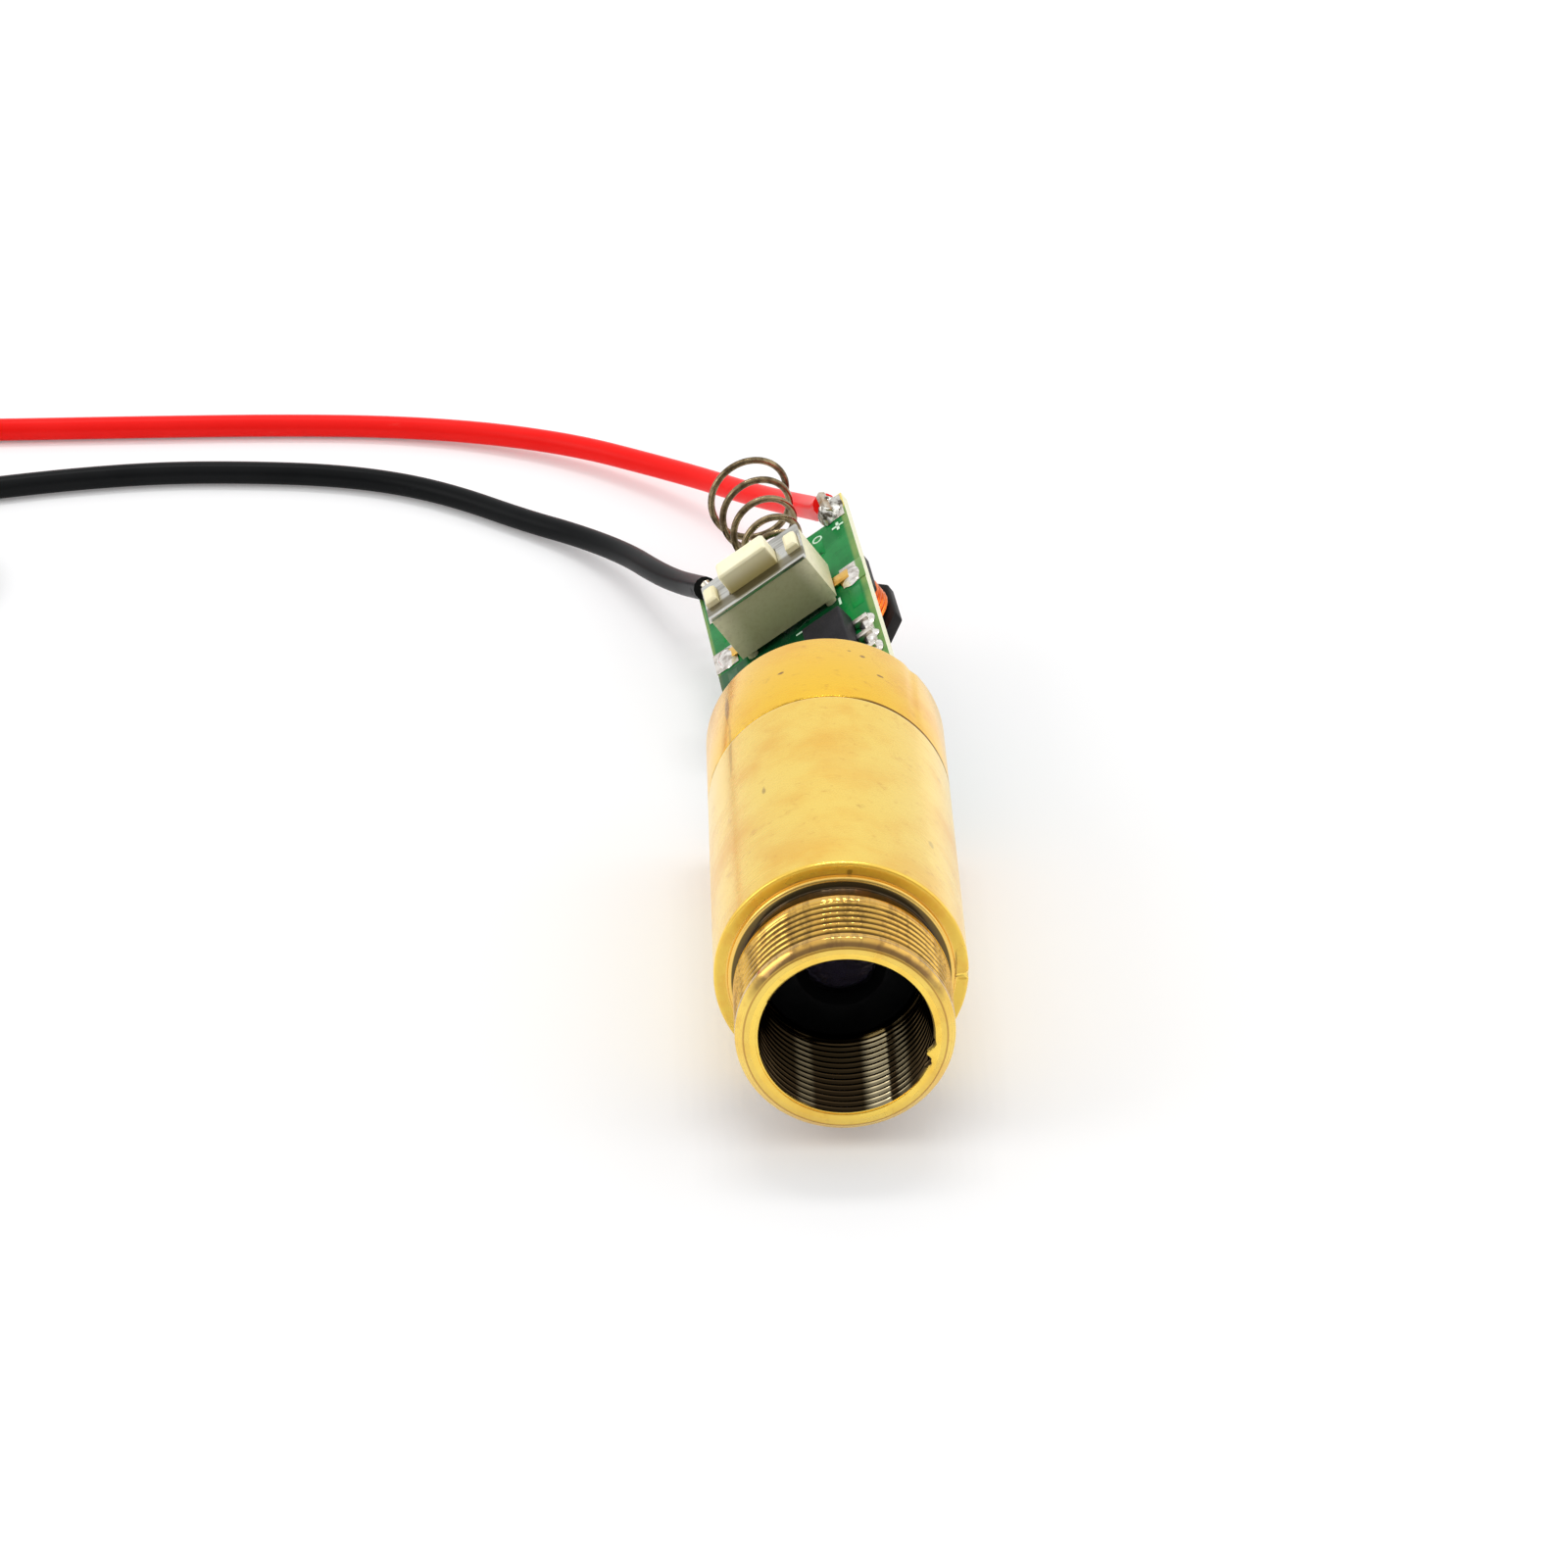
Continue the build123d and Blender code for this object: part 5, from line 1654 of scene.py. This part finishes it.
@dataclass
class Lead:
    """One thin lead: its route, its two-turn coil out of view and its bare, twisted end."""

    colour: str
    route: Sequence[Point]
    side: int
    diameter: float = 1.3
    lead_in: float = 5.0
    outer: float = 8.5
    inner: float = 5.8
    turns: int = 2
    points_a_turn: int = 14
    bare: float = 4.0

    @property
    def heading(self) -> Vector:
        """Direction of the route's last run."""
        return (Vector(self.route[-1]) - Vector(self.route[-2])).normalized()

    @property
    def inward(self) -> Vector:
        """Direction from the coil's entry towards its centre."""
        return Vector((-self.heading.y, self.heading.x, 0)) * self.side

    def coil(self) -> list[Vector]:
        """Lays out the coil after a straight lead-in.

        Returns:
            The coil's points.
        """
        entry = Vector(self.route[-1]) + self.heading * self.lead_in
        centre = entry + self.inward * self.outer
        points = []
        count = self.points_a_turn * self.turns
        for step in range(count + 1):
            share = step / count
            angle = FULL_TURN * self.turns * share
            radius = self.outer + (self.inner - self.outer) * share
            out = -self.inward * math.cos(angle) + self.heading * math.sin(angle)
            points.append(centre + out * radius)
        return points

    def draw(self, points: Sequence[Vector], finish: Finish) -> bpy.types.Object:
        """Draws the lead's spline.

        Args:
            points: its control points in millimetres.
            finish: its insulation.

        Returns:
            The lead's object.
        """
        curve = bpy.data.curves.new(f"{self.colour}_lead", "CURVE")
        curve.dimensions = "3D"
        curve.resolution_u = 10
        curve.bevel_depth = self.diameter / 2 * MM
        curve.bevel_resolution = 5
        curve.use_fill_caps = True
        spline = curve.splines.new("NURBS")
        spline.points.add(len(points) - 1)
        for spot, point in zip(spline.points, points):
            spot.co = (*(point * MM), 1.0)
        spline.order_u = 3
        spline.use_endpoint_u = True
        curve.materials.append(finish.material)
        return stand(f"{self.colour}_lead", curve)

    def bare_end(self, points: Sequence[Vector], shop: Workshop) -> bpy.types.Object:
        """Lays the strands of the lead's bare end.

        Args:
            points: the lead's control points in millimetres.
            shop: the finishes.

        Returns:
            The strands' piece.
        """
        strands = strand_layer().grow(shop.strands, Strands=6, Length=self.bare * MM, Lay_radius=0.2 * MM,
                                      Strand_radius=0.1 * MM, Twist=1.2)
        end, way = points[-1], (points[-1] - points[-2]).normalized()
        turn = way.to_track_quat("Z", "Y").to_matrix().to_4x4()
        strands.transform(Matrix.Translation(end * MM) @ turn)
        return add_piece(f"{self.colour}_bare_end", shade(strands, WIRE_ANGLE), [shop.strands],
                         [f"{self.colour}_wire_tip"])

    def length_of(self, curve: bpy.types.Object) -> float:
        """Measures a curve's own line.

        Args:
            curve: the curve.

        Returns:
            Its length in metres.
        """
        plain = stand("measured", curve.data.copy())
        plain.data.bevel_depth = 0.0
        mesh = evaluated_mesh(plain)
        bpy.data.objects.remove(plain)
        return sum((mesh.vertices[a].co - mesh.vertices[b].co).length for a, b in (e.vertices for e in mesh.edges))

    def build(self, shop: Workshop) -> None:
        """Makes the lead and its bare end.

        Args:
            shop: the finishes.
        """
        finish = shop.red if self.colour == "red" else shop.black
        points = [Vector(p) for p in self.route] + self.coil()
        lead = self.draw(points, finish)
        tip = self.bare_end(points, shop)
        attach(lead, CORE)
        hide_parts(f"{self.colour}_wire", f"{self.colour}_wire_coil")
        length = self.length_of(lead)
        log.info("%s lead: %.1f mm long", self.colour, length / MM)


# the leads' middle lines in millimetres, from the collar to the last point that the photograph shows
RED_ROUTE = (
    (0.71, 51.88, 2.41), (0.58, 53.7, 1.23), (0.33, 55.9, 0.3), (-0.22, 58.6, -0.84), (-1.48, 62.0, -2.14),
    (-3.32, 65.41, -3.2), (-5.58, 69.11, -4.1), (-8.79, 72.45, -4.65), (-12.73, 75.57, -4.95), (-17.86, 77.98, -5.2),
    (-23.6, 79.34, -5.35), (-29.88, 79.66, -5.35), (-36.72, 79.61, -5.35), (-42.97, 79.47, -5.35),
    (-47.8, 79.38, -5.35), (-52.5, 79.25, -5.35),
)
BLACK_ROUTE = (
    (-5.75, 49.25, -1.2), (-6.2, 51.0, -1.95), (-7.15, 53.5, -2.9), (-8.33, 56.2, -3.62), (-9.94, 60.32, -4.5),
    (-12.57, 63.93, -5.1), (-15.73, 66.55, -5.35), (-19.39, 69.59, -5.35), (-22.79, 71.55, -5.35),
    (-26.75, 72.76, -5.35), (-31.54, 73.26, -5.35), (-36.59, 73.3, -5.35), (-41.57, 72.56, -5.35),
    (-46.76, 71.3, -5.35), (-51.33, 69.78, -5.35),
)


@dataclass
class Studio:
    """The pale floor, the soft light and the camera at the photograph's angle."""

    eye: Point = (-9.228, -233.555, 138.597)
    right: Point = (0.99965, -0.02623, 0.00188)
    up: Point = (0.01074, 0.47248, 0.88128)
    forward: Point = (0.02400, 0.88095, -0.47260)
    lens: float = 135.3
    floor: float = -6.0
    floor_gap: float = 0.06
    panel_rows: int = 6
    panel_pitch: float = 0.052

    def camera(self) -> None:
        """Sets the camera."""
        data = bpy.data.cameras.new("photo_camera")
        data.lens = self.lens
        data.sensor_width = 36.0
        data.sensor_fit = "HORIZONTAL"
        data.clip_start = 0.005
        camera = stand("photo_camera", data)
        axes = Matrix((self.right, self.up, -Vector(self.forward))).transposed().to_4x4()
        camera.matrix_world = Matrix.Translation(Vector(self.eye) * MM) @ axes
        bpy.context.scene.camera = camera

    def ground(self) -> None:
        """Lays a white floor that keeps a soft shadow and is white to the camera."""
        half, glow_share = 1.5, 0.2
        mesh = bpy.data.meshes.new("floor")
        mesh.from_pydata([(-half, -half, 0), (half, -half, 0), (half, half, 0), (-half, half, 0)], [], [(0, 1, 2, 3)])
        mesh.transform(Matrix.Translation((0, 0, (self.floor - self.floor_gap) * MM)))
        floor = stand("floor", mesh)
        material = bpy.data.materials.new("white_floor")
        material.use_nodes = True
        t = Tree(material.node_tree)
        rays = t.add("ShaderNodeLightPath").node.outputs
        mirrored = t.most(rays["Is Glossy Ray"], rays["Is Transmission Ray"])
        seen = t.most(rays["Is Camera Ray"], mirrored)
        matt = t.add("ShaderNodeBsdfDiffuse", (0.93, 0.93, 0.935, 1.0))
        glow = t.add("ShaderNodeEmission", WHITE, 1.0)
        mixed = t.add("ShaderNodeMixShader", t.times(seen, glow_share), matt, glow)
        t.end("ShaderNodeOutputMaterial", "Surface", mixed)
        mesh.materials.append(material)

    def sky(self) -> None:
        """Sets a white surround to the camera, and an even, dimmer light on the object."""
        world = bpy.data.worlds.new("studio")
        bpy.context.scene.world = world
        world.use_nodes = True
        t = Tree(world.node_tree)
        rays = t.add("ShaderNodeLightPath").node.outputs
        _, y, z = t.split(t.add("ShaderNodeTexCoord", out="Generated"))
        front = t.smooth(t.minus(t.times(y, -1.0), t.times(z, 0.25)), 0.2, 0.8)
        room = t.ranged(front, 0.0, 1.0, 0.95, 0.22)
        seen = t.most(rays["Is Camera Ray"], t.times(rays["Is Transmission Ray"], 0.5))
        strength = t.ranged(seen, 0.0, 1.0, room, 1.0)
        t.end("ShaderNodeOutputWorld", "Surface", t.add("ShaderNodeBackground", WHITE, strength))

    def lamp(self, name: str, spot: Point, target: Point, size: Spot, power: float) -> None:
        """Adds a soft rectangular light that faces a point.

        Args:
            name: the light's name.
            spot: where it stands, in metres.
            target: the point that it faces, in metres.
            size: its width and height in metres.
            power: its power in watts.
        """
        data = bpy.data.lights.new(name, "AREA")
        data.shape = "RECTANGLE"
        data.size, data.size_y = size
        data.energy = power
        aim = Vector(target) - Vector(spot)
        facing = aim.to_track_quat("-Z", "Y").to_matrix().to_4x4()
        stand(name, data).matrix_world = Matrix.Translation(spot) @ facing

    def build(self) -> None:
        """Sets the whole studio."""
        bpy.context.scene.view_settings.view_transform = "Standard"
        self.camera()
        self.ground()
        self.sky()
        self.lamp("left_light", (-0.5, -0.1, 0.3), (0, 0.02, 0), (0.3, 0.3), 0.6)
        self.lamp("right_light", (0.5, 0.05, 0.3), (0, 0.02, 0), (0.6, 0.6), 0.5)
        for place in range(self.panel_rows):
            across = (place - (self.panel_rows - 1) / 2) * self.panel_pitch
            self.lamp(f"panel_light_{place}", (across, 0.22, 0.52), (across, 0.0, 0), (0.009, 0.06), 0.1)


def main() -> None:
    """Builds the studio, the leads and every piece."""
    logging.basicConfig(level=logging.INFO, format="%(name)s: %(message)s")
    Studio().build()
    shop = Workshop()
    Lead("red", RED_ROUTE, -1).build(shop)
    Lead("black", BLACK_ROUTE, 1).build(shop)
    for group in (ThreadedBarrel(), OpticsInside(), DriverBoard(), PushSwitch(), BoardParts(), BatterySpring(),
                  SolderWork()):
        group.build(shop)
    add_piece("bared_conductors", dressed_copy("lead_conductors", angle=WIRE_ANGLE), [shop.strands],
              ["lead_conductors"])


if __name__ == "__main__":
    main()
